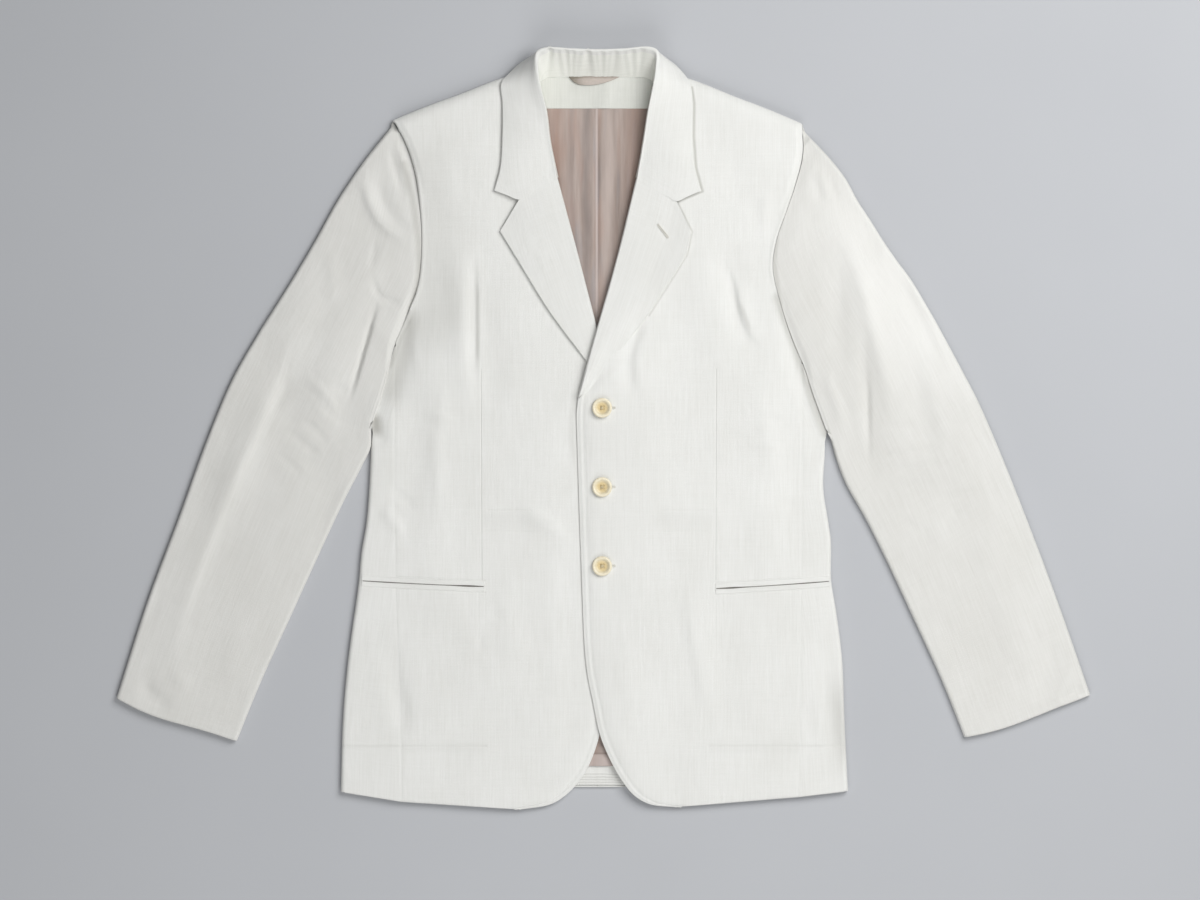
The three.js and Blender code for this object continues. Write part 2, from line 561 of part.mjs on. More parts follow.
// A point of the fall, v of the way down it. Near its ends, where gorge is the count of sections to
// the end, the collar meets the lapel along the gorge, and leaves it at the notch.
function fallPoint(start, end, v, gorge) {
  const [notchX, notchY] = OUTLINE[sideOf(end.x)].notch;
  const at = FALL.notchColumn / FALL.columns;
  const point = start.clone().lerp(end, v);
  const swell = FALL.swell * Math.sin(Math.PI * v) * ramp(FALL.plain, FALL.plain / 2, gorge);
  point.z = mix(start.z, end.z, v ** 0.85) + swell;
  const pull = notchShare(v, at) * Math.max(0, 1 - gorge / 2) ** 2;
  point.x += (notchX - mix(start.x, end.x, at)) * pull;
  point.y += (notchY + 2 * GAP - mix(start.y, end.y, at)) * pull;
  return point;
}

// The inner line of a sleeve, down the armhole and the inner fold, and the outer line beside it
function sleeveLines(outline) {
  const inner = joined(armholePoints(outline).reverse().slice(1),
    spaced(outline.underarm, UNDERARM_ROWS).reverse(), spaced(outline.innerFold, ARM_ROWS).reverse());
  const outer = joined(spaced(outline.outerFold, CAP_ROWS - 1 + UNDERARM_ROWS, CLOSER.cap),
    spaced(outline.outerFoldLow, ARM_ROWS).reverse());
  return { inner, outer };
}

// Top of a sleeve at a point, in row i and a distance from its armhole or inner fold
function sleeveTop(point, name, i, fromSeam) {
  const cap = i < CAP_ROWS ? CAP_RISE.high * bell((fromSeam - CAP_RISE.at) / CAP_RISE.wide) : 0;
  return SLEEVE_HIGH + cap + folds(FOLDS[`${name}Sleeve`], point.x, point.y) * ramp(0, 18, fromSeam);
}

// A sleeve is a flattened tube in two pieces, and above the underarm it ends at the armhole
function sleeve({ name }) {
  const { inner, outer } = sleeveLines(OUTLINE[name]);
  const topRows = [];
  const underRows = [];
  inner.forEach((end, i) => {
    const start = outer[i];
    const width = start.distanceTo(end);
    const radius = Math.min(SLEEVE_HIGH / 2, width / SLEEVE.foldShare);
    const isTurned = i >= CAP_ROWS - 1;
    const strip = Math.min(SLEEVE.strip, width * SLEEVE.stripShare);
    const innerStrip = mix(radius + 1, strip, ramp(CAP_ROWS - 1, CAP_ROWS + 4, i));
    const last = inner.length - 1;
    const place = (distance, high) => {
      const point = start.clone().lerp(end, distance / width).setZ(high);
      point.y -= SLEEVE.cuffBow * arch(distance / width) * ramp(last - SLEEVE.bowRows, last, i);
      return point;
    };
    const outerTurn = turned(radius).reverse().map(([d, high]) => [radius - d, high]);
    const flat = Array.from({ length: SLEEVE.columns + 1 }, (_, j) => (
      [mix(radius, width - radius, j / SLEEVE.columns), 2 * radius]));
    const section = [[strip, 0], ...outerTurn, ...flat, ...ending(width, radius, innerStrip, isTurned)];
    topRows.push(section.map(([distance, high]) => {
      const point = place(distance, high);
      if (high <= radius) return point;
      const fromSeam = width - distance;
      let top = mix(2 * radius, sleeveTop(point, name, i, fromSeam), ramp(12, 40, width));
      if (!isTurned) {
        const seam = armholeHigh(LOW_ROWS + UNDERARM_ROWS + CAP_ROWS - 1 - i) - 2 * GAP;
        top = mix(Math.min(top, seam), top, ramp(0, 14, fromSeam));
      }
      return point.setZ(mix(radius, top, (high - radius) / radius));
    }));
    const underEnd = width - GAP - (isTurned ? innerStrip : 0);
    underRows.push([0, 0.5, 1].map((v) => place(mix(strip + GAP, underEnd, v), BACK_CLOTH)));
  });
  const thinTip = (_, i) => Math.min(SLEEVE_CLOTH, SLEEVE_HIGH * (i + 2) / 10);
  wall(`top_sleeve_${name}`, "cloth", topRows, thinTip);
  wall(`under_sleeve_${name}`, "cloth", underRows, BACK_CLOTH);
}

// The two jets of each pocket, on either side of the slit
function pockets({ name }) {
  const [from, to] = POCKET[name];
  const jets = [{ which: "upper", offset: 0.5 }, { which: "lower", offset: -0.5 }];
  for (const { which, offset } of jets) {
    const rows = Array.from({ length: JET.steps + 1 }, (_, i) => {
      const x = mix(from[0], to[0], i / JET.steps);
      const middle = mix(from[1], to[1], i / JET.steps) + offset * (JET.wide + 2 * GAP);
      return [-0.5, 0.5].map((v) => {
        const y = middle + v * JET.wide;
        return new THREE.Vector3(x, y, frontTop(x, y, name) + JET.lift + JET.thick);
      });
    });
    wall(`pocket_jet_${name}_${which}`, "cloth", rows, JET.thick);
  }
}

// A turned button with a raised rim, on the left front
function button(name, y) {
  const { x, radius, thick, facets } = BUTTON;
  const profile = [[0, 0], [radius - 1.5, 0], [radius, 1.2], [radius, thick - 0.9], [radius - 1.1, thick],
    [radius - 2.6, thick - 0.2], [radius - 4.2, thick - 1.3], [0, thick - 1.3]];
  const turnedProfile = profile.map((corner) => new THREE.Vector2(...corner));
  const mesh = add(name, "button", new THREE.LatheGeometry(turnedProfile, facets));
  mesh.rotation.x = Math.PI / 2;
  const below = Array.from({ length: facets }, (_, i) => {
    const angle = 2 * Math.PI * i / facets;
    return frontTop(x + radius * Math.cos(angle), y + radius * Math.sin(angle), "left");
  });
  mesh.position.set(x, y, Math.max(...below) + GAP);
}

back();
backInside();
hangerLoop();
for (const side of SIDES) {
  front(side);
  sidePanel(side);
  lapel(side);
  sleeve(side);
  pockets(side);
}
collar();
["top", "middle", "bottom"].forEach((which, i) => button(`button_${which}`, BUTTON.y[i]));

export default group;
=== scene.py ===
"""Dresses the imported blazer: cloth walls with their folds, seams, weave, stitching and buttons.

The blazer lies flat on its back. Lengths are millimetres until a mesh is made, which is in metres.
+X is the wearer's left, +Y runs towards the collar and +Z is up from the surface it lies on.
"""

import logging
import math
from collections.abc import Callable, Mapping, Sequence
from dataclasses import dataclass, field
from enum import Enum

import bmesh
import bpy
import numpy as np
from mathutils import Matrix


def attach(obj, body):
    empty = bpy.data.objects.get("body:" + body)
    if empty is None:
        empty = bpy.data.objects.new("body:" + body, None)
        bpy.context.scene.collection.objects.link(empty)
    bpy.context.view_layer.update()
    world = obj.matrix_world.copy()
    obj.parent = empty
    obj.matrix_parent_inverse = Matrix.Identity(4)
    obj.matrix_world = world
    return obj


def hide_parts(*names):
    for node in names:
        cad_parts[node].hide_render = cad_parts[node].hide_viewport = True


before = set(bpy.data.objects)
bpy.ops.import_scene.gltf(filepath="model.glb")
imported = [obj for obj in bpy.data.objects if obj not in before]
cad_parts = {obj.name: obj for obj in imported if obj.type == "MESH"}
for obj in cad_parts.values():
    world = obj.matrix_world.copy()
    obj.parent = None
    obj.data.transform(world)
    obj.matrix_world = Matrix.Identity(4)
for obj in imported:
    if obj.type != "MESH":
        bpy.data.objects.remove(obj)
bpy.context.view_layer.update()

LOG = logging.getLogger("blazer")
MM = 0.001
PER_METRE = 1000.0
BODY = "root"
WEAVE_MAP = "weave"  # the UV map that the cloth's threads follow, in metres

Array = np.ndarray
Colour = tuple[float, float, float]
Point = tuple[float, float]
Line = tuple[Point, ...]

# Sizes shared with the solids
MID = -6.7  # x of the centre line
BACK_CLOTH = 1.5
LINING_CLOTH = 1.0
FRONT_CLOTH = 3.0
SIDE_CLOTH = 2.2
SLEEVE_CLOTH = 2.4
LAPEL_CLOTH = 2.3
STAND_CLOTH = 2.0
LAPEL_LIFT = 0.9
GAP = 0.3
LINING_LOW = BACK_CLOTH + GAP
FRONT_HIGH = 7.8
SIDE_HIGH = 8.4
SLEEVE_HIGH = 7.6
UNDERARM_HIGH = 4.8
ARMHOLE_SEAM_HIGH = 8.6
ARMHOLE_CORNER_HIGH = 6.1
SHOULDER_EDGE = 14.0
SHOULDER_BOW = 4.6
NECK_RISE = 4.6  # how far the shoulder line climbs against the collar
UNDER_WIDE = 55.0

# Sewing
SEAM_DEEP = 0.22  # the dip of a pressed seam
SEAM_WIDE = 1.6
NOTCH_AT = 4 / 6  # how far along the gorge the notch lies
HEM_SEWN = -327.5  # y of the line where the hems are sewn up
# The dark share of the hem's line is painted shade
HEM_LINE_AND_PAINTED_SHADE = {"wide": 2.6, "deep": 0.25, "shade": 0.07, "dark": 0.07}  # that line, seen from outside
NECK_SEAM = 361.0  # y of the seam below the stand

# Shoulder pad: its height, its thickness, and the y from which and to which it rises
PAD_HIGH = 5.0
PAD_THICK = 3.5
PAD_FROM = 190.0
PAD_TO = 285.0

# The fronts' large forms: the chest, the lap of the left front and the roll of its lapel
CHEST_HIGH = 1.4
CHEST_OUT = 105.0  # from the centre line
CHEST_UP = 150.0  # y
CHEST_WIDE = 62.0
CHEST_LONG = 100.0
LAP_HIGH = 3.5
LAP_ACROSS = (80.0, 18.0)  # x from which and to which it rises
LAP_ALONG = (220.0, 120.0)  # y, likewise
ROLL_HIGH = 3.3
ROLL_ACROSS = (62.0, 10.0)
ROLL_ALONG = (4.0, 66.0)
ROLL_ENDS = (134.0, 105.0)

# Numbers of the solids' sections, which the finer grids here share
LOW_ROWS = 13
BODY_ROWS = 17  # to the top of the side panel
TOP_ROW = 26
CAP_ROWS = 9
SLEEVE_ROWS = 25
SLEEVE_ELBOW_ROW = 12  # where the sleeve's inner fold leaves the body

# Powers that crowd the rows towards the end of a stretch
HEM_POWER = 1.3
CAP_POWER = 1.35
NECK_POWER = 1.2
CROWN_POWER = 1.25

WAVES = 7
WAVES_GAIN = 1.6  # makes up for waves that cancel each other
CREASE_STEPS = 13
DIES_OVER = 0.35  # share of a crease over which it dies away at each end


class Side(Enum):
    """A side of the blazer, named as its wearer's."""

    RIGHT = "right"
    LEFT = "left"

    @property
    def sign(self) -> int:
        """Which way the side lies along X."""
        return 1 if self is Side.LEFT else -1


# Numbers on whole arrays


def ramp(start: float, end: float, value: Array | float) -> Array:
    """Smooth step from 0 at start to 1 at end: t squared times (3 - 2t)."""
    t = np.clip((np.asarray(value, float) - start) / (end - start), 0, 1)
    return t * t * (3 - 2 * t)


def bell(*parts: Array) -> Array:
    """Bell of the given distances: e to the power of minus the sum of their squares."""
    return np.exp(-sum(part * part for part in parts))


def mix(start: Array | float, end: Array | float, share: Array | float) -> Array:
    """The value a share of the way from start to end."""
    return start + (end - start) * share


def arch(t: Array) -> Array:
    """Parabola that is 0 at 0 and 1, and 1 halfway: 4t(1 - t)."""
    return 4 * t * (1 - t)


def crowded(count: int, pull: float = 0.6) -> Array:
    """Even steps from 0 to 1, drawn towards both ends: a mix with (1 - cos(pi t)) / 2.

    Args:
        count: The number of steps.
        pull: The share of the cosine, from 0 to 1.

    Returns:
        The places, one more than the steps.
    """
    t = np.linspace(0, 1, count + 1)
    return mix(t, (1 - np.cos(math.pi * t)) / 2, pull)


def unit(vectors: Array) -> Array:
    """Vectors divided by their lengths."""
    return vectors / np.maximum(np.linalg.norm(vectors, axis=-1, keepdims=True), 1e-9)


def catmull(points: Array, t: Array) -> Array:
    """A centripetal Catmull-Rom curve.

    Between two points it is the cubic with their places and tangents, where the tangents come from
    the neighbours' slopes over knots spaced by the square root of each chord.

    Args:
        points: Points along the first axis. Other axes are curves side by side.
        t: Places from 0 to 1, even in the number of points.

    Returns:
        The curve's points, with t along the first axis.
    """
    last = len(points) - 1
    ends = np.concatenate([2 * points[:1] - points[1:2], points, 2 * points[-1:] - points[-2:-1]])
    place = np.clip(t, 0, 1) * last
    knot = np.minimum(place.astype(int), last - 1)
    w = (place - knot).reshape((-1,) + (1,) * (points.ndim - 1))
    a, b, c, d = (ends[knot + i] for i in range(4))

    def root(p: Array, q: Array) -> Array:
        """The square root of the chord from p to q."""
        return np.sqrt(np.maximum(np.linalg.norm(q - p, axis=-1, keepdims=True), 1e-6))

    before, here, after = root(a, b), root(b, c), root(c, d)
    leave = ((b - a) / before - (c - a) / (before + here) + (c - b) / here) * here
    enter = ((c - b) / here - (d - b) / (here + after) + (d - c) / after) * here
    return b + leave * w + (3 * (c - b) - 2 * leave - enter) * w**2 + (2 * (b - c) + leave + enter) * w**3


class SmoothLine:
    """A smooth line through points, measured by its length."""

    def __init__(self, points: Sequence[Sequence[float]]) -> None:
        """Measures the line on a fine walk along it."""
        self.points = np.asarray(points, float)
        self.index = np.linspace(0, 1, 30 * (len(self.points) - 1) + 1)
        walk = self.by_index(self.index)
        run = np.concatenate([[0], np.cumsum(np.linalg.norm(np.diff(walk, axis=0), axis=1))])
        self.length = float(run[-1])
        self.share = run / run[-1]

    def by_index(self, t: Array) -> Array:
        """Points at places that are even in the number of given points."""
        return catmull(self.points, np.asarray(t, float))

    def at(self, share: Array) -> Array:
        """Points at shares of the line's length."""
        return self.by_index(np.interp(share, self.share, self.index))


def waves(x: Array, y: Array, seed: int, size: float, high: float) -> Array:
    """Gentle unevenness: the mean of seven sine waves with seeded directions, lengths and phases.

    Args:
        x: Places across, in millimetres.
        y: Places along.
        seed: Seed of the waves.
        size: About how long a wave is.
        high: Height of the unevenness.

    Returns:
        A height for each place.
    """
    draw = np.random.default_rng(seed)
    total = np.zeros_like(x)
    for _ in range(WAVES):
        angle, phase = draw.uniform(0, 2 * math.pi, 2)
        rate = 2 * math.pi / (size * draw.uniform(0.6, 1.6))
        total += np.sin(rate * (x * math.cos(angle) + y * math.sin(angle)) + phase)
    return high * total / WAVES * WAVES_GAIN


# Folds


@dataclass(frozen=True)
class Crease:
    """A soft ridge, or a trough where high is negative, along a line on the table's plane.

    left and right are its widths on either side, seen along the line.
    """

    line: Line
    high: float
    left: float
    right: float

    def height(self, x: Array, y: Array) -> Array:
        """Height at each place: a bell across the line, which dies away towards its ends."""
        walk = np.array(self.line, float)
        if len(self.line) > 2:
            walk = SmoothLine(self.line).at(np.linspace(0, 1, CREASE_STEPS))
        start, step = walk[:-1], np.diff(walk, axis=0)
        long = np.linalg.norm(step, axis=1)
        px, py = x[..., None] - start[:, 0], y[..., None] - start[:, 1]
        along = np.clip((px * step[:, 0] + py * step[:, 1]) / long**2, 0, 1)
        dx, dy = px - along * step[:, 0], py - along * step[:, 1]
        away = np.hypot(dx, dy)
        nearest = away.argmin(-1)[..., None]
        across = np.take_along_axis((step[:, 0] * dy - step[:, 1] * dx), nearest, -1)[..., 0]
        run = np.concatenate([[0], np.cumsum(long)])
        share = np.take_along_axis(run[:-1] + along * long, nearest, -1)[..., 0] / run[-1]
        wide = np.where(across > 0, self.left, self.right)
        fade = ramp(0, DIES_OVER, share) * ramp(1, 1 - DIES_OVER, share)
        return self.high * fade * bell(np.take_along_axis(away, nearest, -1)[..., 0] / wide)


def relief(creases: Sequence[Crease], x: Array, y: Array) -> Array:
    """The sum of the creases' heights at each place."""
    return sum((crease.height(x, y) for crease in creases), np.zeros_like(x))


@dataclass(frozen=True)
class Shade:
    """Deep shade in the cloth along a line, or light where dark is negative, which fades out to its width."""

    line: Line
    wide: float
    dark: float
    fade: float = 0.0  # how far from its two ends it comes and goes


@dataclass(frozen=True)
class Form:
    """A large soft fold of the solids: a bell across the line from start to end."""

    start: Point
    end: Point
    wide: float
    high: float

    def height(self, x: Array, y: Array) -> Array:
        """Height at each place, as the solids have it."""
        (ax, ay), (bx, by) = self.start, self.end
        long = math.hypot(bx - ax, by - ay)
        t = ((x - ax) * (bx - ax) + (y - ay) * (by - ay)) / long
        beyond = np.maximum(0, np.maximum(-t, t - long))
        across = ((x - ax) * (by - ay) - (y - ay) * (bx - ax)) / long
        return self.high * bell(across / self.wide, beyond / (2 * self.wide))


# Each side's outlines, folds and creases


@dataclass(frozen=True)
class Pattern:
    """Outlines of one side, each a line of x, y from the hem upwards, and its folds."""

    side: Side
    seam: Line
    seam_high: Line
    fold: Line
    underarm: Line
    armhole: Line
    edge: Line
    edge_high: Line
    neck: Line
    roll: Line
    lapel_edge: Line
    notch: Point
    outer_fold: Line
    outer_fold_low: Line
    inner_fold: Line
    cuff_lean: float  # how much further the cuff's outer half hangs than its inner half
    forms: tuple[Form, ...]
    sleeve_forms: tuple[Form, ...]
    creases: tuple[Crease, ...]
    sleeve_creases: tuple[Crease, ...]
    dart: tuple[Point, Point]
    pocket: tuple[Point, Point]
    shades: tuple[Shade, ...]
    sleeve_shades: tuple[Shade, ...]

    def seam_points(self, row: Array) -> Array:
        """The front's side seam and armhole at each row number."""
        return self._stretches(row, self.seam, self.seam_high, self.armhole_points(row))

    def armhole_points(self, row: Array) -> Array:
        """The armhole at each row number of the body, closer together towards the shoulder."""
        return SmoothLine(self.armhole).at(self._capped_share(row, CAP_POWER))

    def edge_points(self, row: Array) -> Array:
        """The front's edge and neck at each row number."""
        neck = SmoothLine(self.neck).at(self._capped_share(row, NECK_POWER))
        return self._stretches(row, self.edge, self.edge_high, neck)

    def fold_points(self, row: Array) -> Array:
        """The side fold, and above it the line where the sleeve lies against the body."""
        return self._stretches(row, self.fold, self.underarm, self.armhole_points(row))

    @staticmethod
    def _capped_share(row: Array, power: float) -> Array:
        """How far from the armpit to the shoulder each row lies, drawn towards the shoulder."""
        return 1 - np.clip(1 - (row - BODY_ROWS) / CAP_ROWS, 0, 1) ** power

    @staticmethod
    def _stretches(row: Array, low: Line, under: Line, cap: Array) -> Array:
        """A line's point at each row: below the armpit, beside it, and from there up, where cap has it."""
        low_points = SmoothLine(low).at(np.clip(row / LOW_ROWS, 0, 1) ** HEM_POWER)
        under_points = SmoothLine(under).at((row - LOW_ROWS) / (BODY_ROWS - LOW_ROWS))
        at = row[:, None]
        return np.where(at <= LOW_ROWS, low_points, np.where(at <= BODY_ROWS, under_points, cap))

    def sleeve_lines(self, row: Array) -> tuple[Array, Array]:
        """The sleeve's inner and outer lines at each of its row numbers, from the shoulder down."""
        cap = SmoothLine(self.armhole).at(1 - (np.clip(1 + row, 0, CAP_ROWS) / CAP_ROWS) ** CAP_POWER)
        corner = np.array(self.armhole[-1]) + (self.side.sign * 0.3, -5.3)
        under = SmoothLine(self.underarm).at((SLEEVE_ELBOW_ROW - row) / (SLEEVE_ELBOW_ROW - CAP_ROWS + 1))
        arm = (SLEEVE_ROWS - row) / (SLEEVE_ROWS - SLEEVE_ELBOW_ROW)
        at = row[:, None]
        inner = np.where(at <= SLEEVE_ELBOW_ROW, under, SmoothLine(self.inner_fold).at(arm))
        inner = np.where(at <= CAP_ROWS - 1, cap, inner)
        crown = (np.clip(row, 0, SLEEVE_ELBOW_ROW) / SLEEVE_ELBOW_ROW) ** CROWN_POWER
        high = SmoothLine(self.outer_fold).at(crown)
        outer = np.where(at <= SLEEVE_ELBOW_ROW, high, SmoothLine(self.outer_fold_low).at(arm))
        outer = np.where(at < 0, mix(corner, outer, 1 + at), outer)
        return inner, outer

    def shoulder_line(self, x: Array) -> Array:
        """The y of the shoulder seam at x: a straight line with a bow, which climbs against the collar."""
        (corner_x, corner_y), (neck_x, neck_y) = self.armhole[-1], self.neck[-1]
        t = np.clip((x - corner_x) / (neck_x - corner_x), 0, 1)
        rise = NECK_RISE * ramp(0.4, 0.85, t) * ramp(1.02, 0.88, t)
        return mix(corner_y, neck_y, t) + SHOULDER_BOW * arch(t) + rise

    def below_shoulder(self, x: Array, y: Array) -> Array:
        """How far below the shoulder seam each place lies, from 0 at it to 1 where its rounding ends."""
        return np.clip((self.shoulder_line(x) - y) / SHOULDER_EDGE, 0, 1)

    def top(self, x: Array, y: Array, fine: bool = True) -> Array:
        """Height of the front at each place.

        The lying cloth, plus the bells of chest and folds, plus the ramps of the shoulder pad, of
        the lap and of the roll on it, rounded off to the shoulder seam by a quarter of an ellipse.

        Args:
            x: Places across.
            y: Places along.
            fine: Whether the fine creases count, besides the solids' own folds.

        Returns:
            The heights.
        """
        out = np.abs(x - MID)
        chest = CHEST_HIGH * bell((out - CHEST_OUT) / CHEST_WIDE, (y - CHEST_UP) / CHEST_LONG)
        z = FRONT_HIGH + PAD_HIGH * ramp(PAD_FROM, PAD_TO, y) + chest
        z = z + sum(form.height(x, y) for form in self.forms) * ramp(22, 50, out)
        if fine:
            z = z + relief(self.creases, x, y) + waves(x, y, 11 + self.side.sign, size=75, high=0.22)
        if self.side is Side.LEFT:
            lap = LAP_HIGH * ramp(*LAP_ACROSS, x) * ramp(*LAP_ALONG, y)
            roll = ROLL_HIGH * ramp(*ROLL_ACROSS, x) * ramp(*ROLL_ALONG, y) * ramp(*ROLL_ENDS, y)
            z = z + lap + roll
        return mix(UNDERARM_HIGH, z, np.sqrt(1 - (1 - self.below_shoulder(x, y)) ** 2))


def crease(line: Line, high: float, left: float, right: float | None = None) -> Crease:
    """A crease, as wide on its right as on its left where right isn't given."""
    return Crease(line, high, left, left if right is None else right)


RIGHT_PATTERN = Pattern(
    side=Side.RIGHT,
    seam=((-207.5, -385.0), (-209.6, -280), (-213.7, -167), (-214.8, -53.6), (-214.8, 5)),
    seam_high=((-214.8, 5), (-214.6, 45), (-213.6, 84)),
    fold=((-270.4, -374.8), (-268.3, -301), (-263, -239), (-251.8, -157), (-249.3, -128), (-243.8, -95),
          (-239.8, -35), (-239.2, 5)),
    underarm=((-239.2, 5), (-228.1, 39), (-215.4, 84)),
    armhole=((-215.4, 84), (-200.6, 121), (-191.4, 145), (-187.5, 183), (-189, 224.5), (-195.2, 265.7),
             (-206.5, 297.7), (-217.8, 316.2)),
    edge=((-86, -392.9), (-54.1, -387.3), (-37.6, -377), (-21.1, -358.4), (-9.8, -334.8), (0.5, -297),
          (7, -255), (12.9, -165), (13.9, -60), (13.5, 5)),
    edge_high=((13.5, 5), (11, 38), (-5, 98)),
    neck=((-5, 98), (-26.3, 179.2), (-47, 257), (-55, 294), (-60, 332), (-70, 364)),
    roll=((3.4, 66.5), (-6.7, 104), (-26.3, 179.2), (-47, 256.6)),
    lapel_edge=((-15.6, 65.5), (-18, 69), (-56.1, 119.9), (-89.1, 173.5), (-106.6, 201.9)),
    notch=(-86.5, 235.4),
    outer_fold=((-221.3, 306.5), (-245.7, 276), (-273.5, 234.8), (-296.4, 193.6), (-320.8, 152.4),
                (-352, 103)),
    outer_fold_low=((-501.6, -278.1), (-469.2, -177.2), (-438.3, -94.8), (-408.4, -12.4), (-381.3, 52),
                    (-352, 103)),
    inner_fold=((-377.6, -322.6), (-351.8, -259.6), (-323.6, -197.8), (-295.5, -136), (-266.6, -74.2),
                (-248.4, -39), (-239.4, -19), (-238.6, 4)),
    cuff_lean=1.7,
    forms=(
        Form((-146, 150), (-140, 60), 18, 2.4),
        Form((-122, 140), (-120, 50), 18, -1.4),
        Form((-150, -200), (-70, -290), 30, 1.2),
        Form((-60, -60), (-40, -250), 30, 1.2),
        Form((-196, 70), (-196, -60), 18, -1.4),
        Form((-172, 50), (-176, -120), 22, 1.2),
    ),
    sleeve_forms=(
        Form((-313, 115), (-374, -48), 20, 2.4),
        Form((-374, -48), (-447, -255), 22, 1.8),
        Form((-227, 137), (-267, 15), 18, -1.8),
        Form((-245, 150), (-295, 20), 20, 1.4),
        Form((-242, 247), (-203, 203), 18, 1.6),
        Form((-330, 45), (-285, -60), 20, -1.4),
    ),
    creases=(
        crease(((-146, 170), (-144, 120), (-146, 40)), 0.9, 9, 14),
        crease(((-132.5, 186), (-133, 120), (-132, 34)), -2.7, 3.2, 6.5),
        crease(((-193, 181), (-197, 125.5), (-190, 40)), 1.0, 7),
        crease(((-194, 142), (-204, 92), (-214, 50), (-224, 4)), -3.4, 14, 10),
        crease(((-237, 14), (-231, -2), (-230, -20)), -2.0, 6, 7),
        crease(((-160, 60), (-171, -20), (-168, -100)), 1.0, 8),
        crease(((-229, -79.4), (-203.8, -110.9)), 1.6, 5, 7),
        crease(((-222, -60), (-190, -86)), -1.0, 5),
        crease(((-92, -78), (-58, -98), (-30, -122)), 1.6, 7, 9),
        crease(((-104, -130), (-99, -200), (-88, -262)), 1.2, 17, 11),
        crease(((-215.6, -252.8), (-206.2, -323.8)), -1.3, 9),
        crease(((-180.2, -0.6), (-156.5, -8.5)), -0.7, 4),
        crease(((-186, 17), (-148, 6)), 0.7, 5),
        crease(((-118, -190), (-98, -196)), -0.7, 4),
        crease(((-128, -205), (-126, -235)), -0.6, 4),
        crease(((-218, -215), (-212, -262), (-200, -318)), -1.8, 9, 11),
        crease(((-100, 320), (-112, 230)), -0.7, 12),
        crease(((-166, 300), (-150, 200)), 0.7, 14),
    ),
    sleeve_creases=(
        crease(((-307, 113), (-330, 42), (-349, -6), (-379, -74), (-426, -198), (-440, -262)), -3.0, 30, 6),
        crease(((-317, 118), (-329, 72), (-357, -7), (-411, -145), (-444, -240)), 1.3, 7, 22),
        crease(((-227.5, 139), (-241.5, 86), (-260, 21)), 2.3, 17, 2.6),
        crease(((-230.5, 136), (-245.2, 86.1), (-263.6, 21)), -2.2, 2.4, 3.2),
        crease(((-239.3, 159), (-230, 136), (-203, 126)), -1.7, 2.6, 3.4),
        crease(((-234, 196), (-240, 160)), -1.0, 4),
        crease(((-236, 262), (-226, 229), (-214, 212), (-192, 200)), -2.6, 9, 6),
        crease(((-248, 262), (-240, 230), (-226, 208), (-200, 192)), 2.4, 7, 5),
        crease(((-212.5, 299.0), (-207.2, 279.2), (-202.5, 255.6)), 1.2, 4),
        crease(((-221, 290), (-213, 262), (-205, 238)), -1.2, 4),
        crease(((-319, 52), (-345, 9)), -1.7, 6, 9),
        crease(((-307.9, 56.2), (-282.7, 30.9), (-270.8, 11.2)), 1.3, 4, 5),
        crease(((-280, 44), (-262, 36)), -1.0, 4),
        crease(((-328.4, -0.6), (-290.5, -30.5)), -1.0, 3.4, 4.5),
        crease(((-310.2, 11.2), (-281.1, -16.4)), -1.2, 3.4, 4.5),
        crease(((-337.8, -24.2), (-306.3, -51.8)), -0.9, 4),
        crease(((-300, 22), (-268, -4)), 0.7, 4),
        crease(((-474, -256), (-467, -272), (-442, -290)), -1.9, 7, 9),
        crease(((-448, -250), (-421, -268)), 0.9, 7),
        crease(((-282.7, 243.8), (-294.5, 204.4)), -0.9, 6),
        crease(((-282, 190), (-276, 120)), 0.9, 8),
        crease(((-370, -190), (-392, -262)), 0.7, 11),
        crease(((-455, -150), (-478, -214)), -0.7, 8),
    ),
    dart=((-126.2, 60), (-125.4, -156)),
    pocket=((-249, -157.3), (-122, -163.2)),
    shades=(
        Shade(((-189, 136), (-204, 92), (-214, 58), (-224, 12)), 18, 0.42, 30),
        Shade(((-190, 126), (-208, 92), (-224, 48)), 7, 0.50, 20),
        Shade(((-236, 20), (-232, -14)), 10, 0.7, 14),
        Shade(((-129.5, 160), (-129.5, 56)), 3.4, 0.28, 26),
        Shade(((-210, 322), (-187, 190), (-176, 60)), 85, 0.16, 60),
        Shade(((-27, 46), (-33, 8), (-30, -50)), 6, 0.15, 30),
        Shade(((-217.8, 316), (-206.5, 297.7), (-195.2, 265.7), (-189, 224.5), (-187.5, 183),
               (-191.4, 145), (-199, 123)), 2.6, -0.7),
    ),
    sleeve_shades=(
        Shade(((-205.5, 272), (-196.5, 236), (-190.5, 190), (-189.5, 158), (-197, 124)), 6, 0.34),
    ),
)

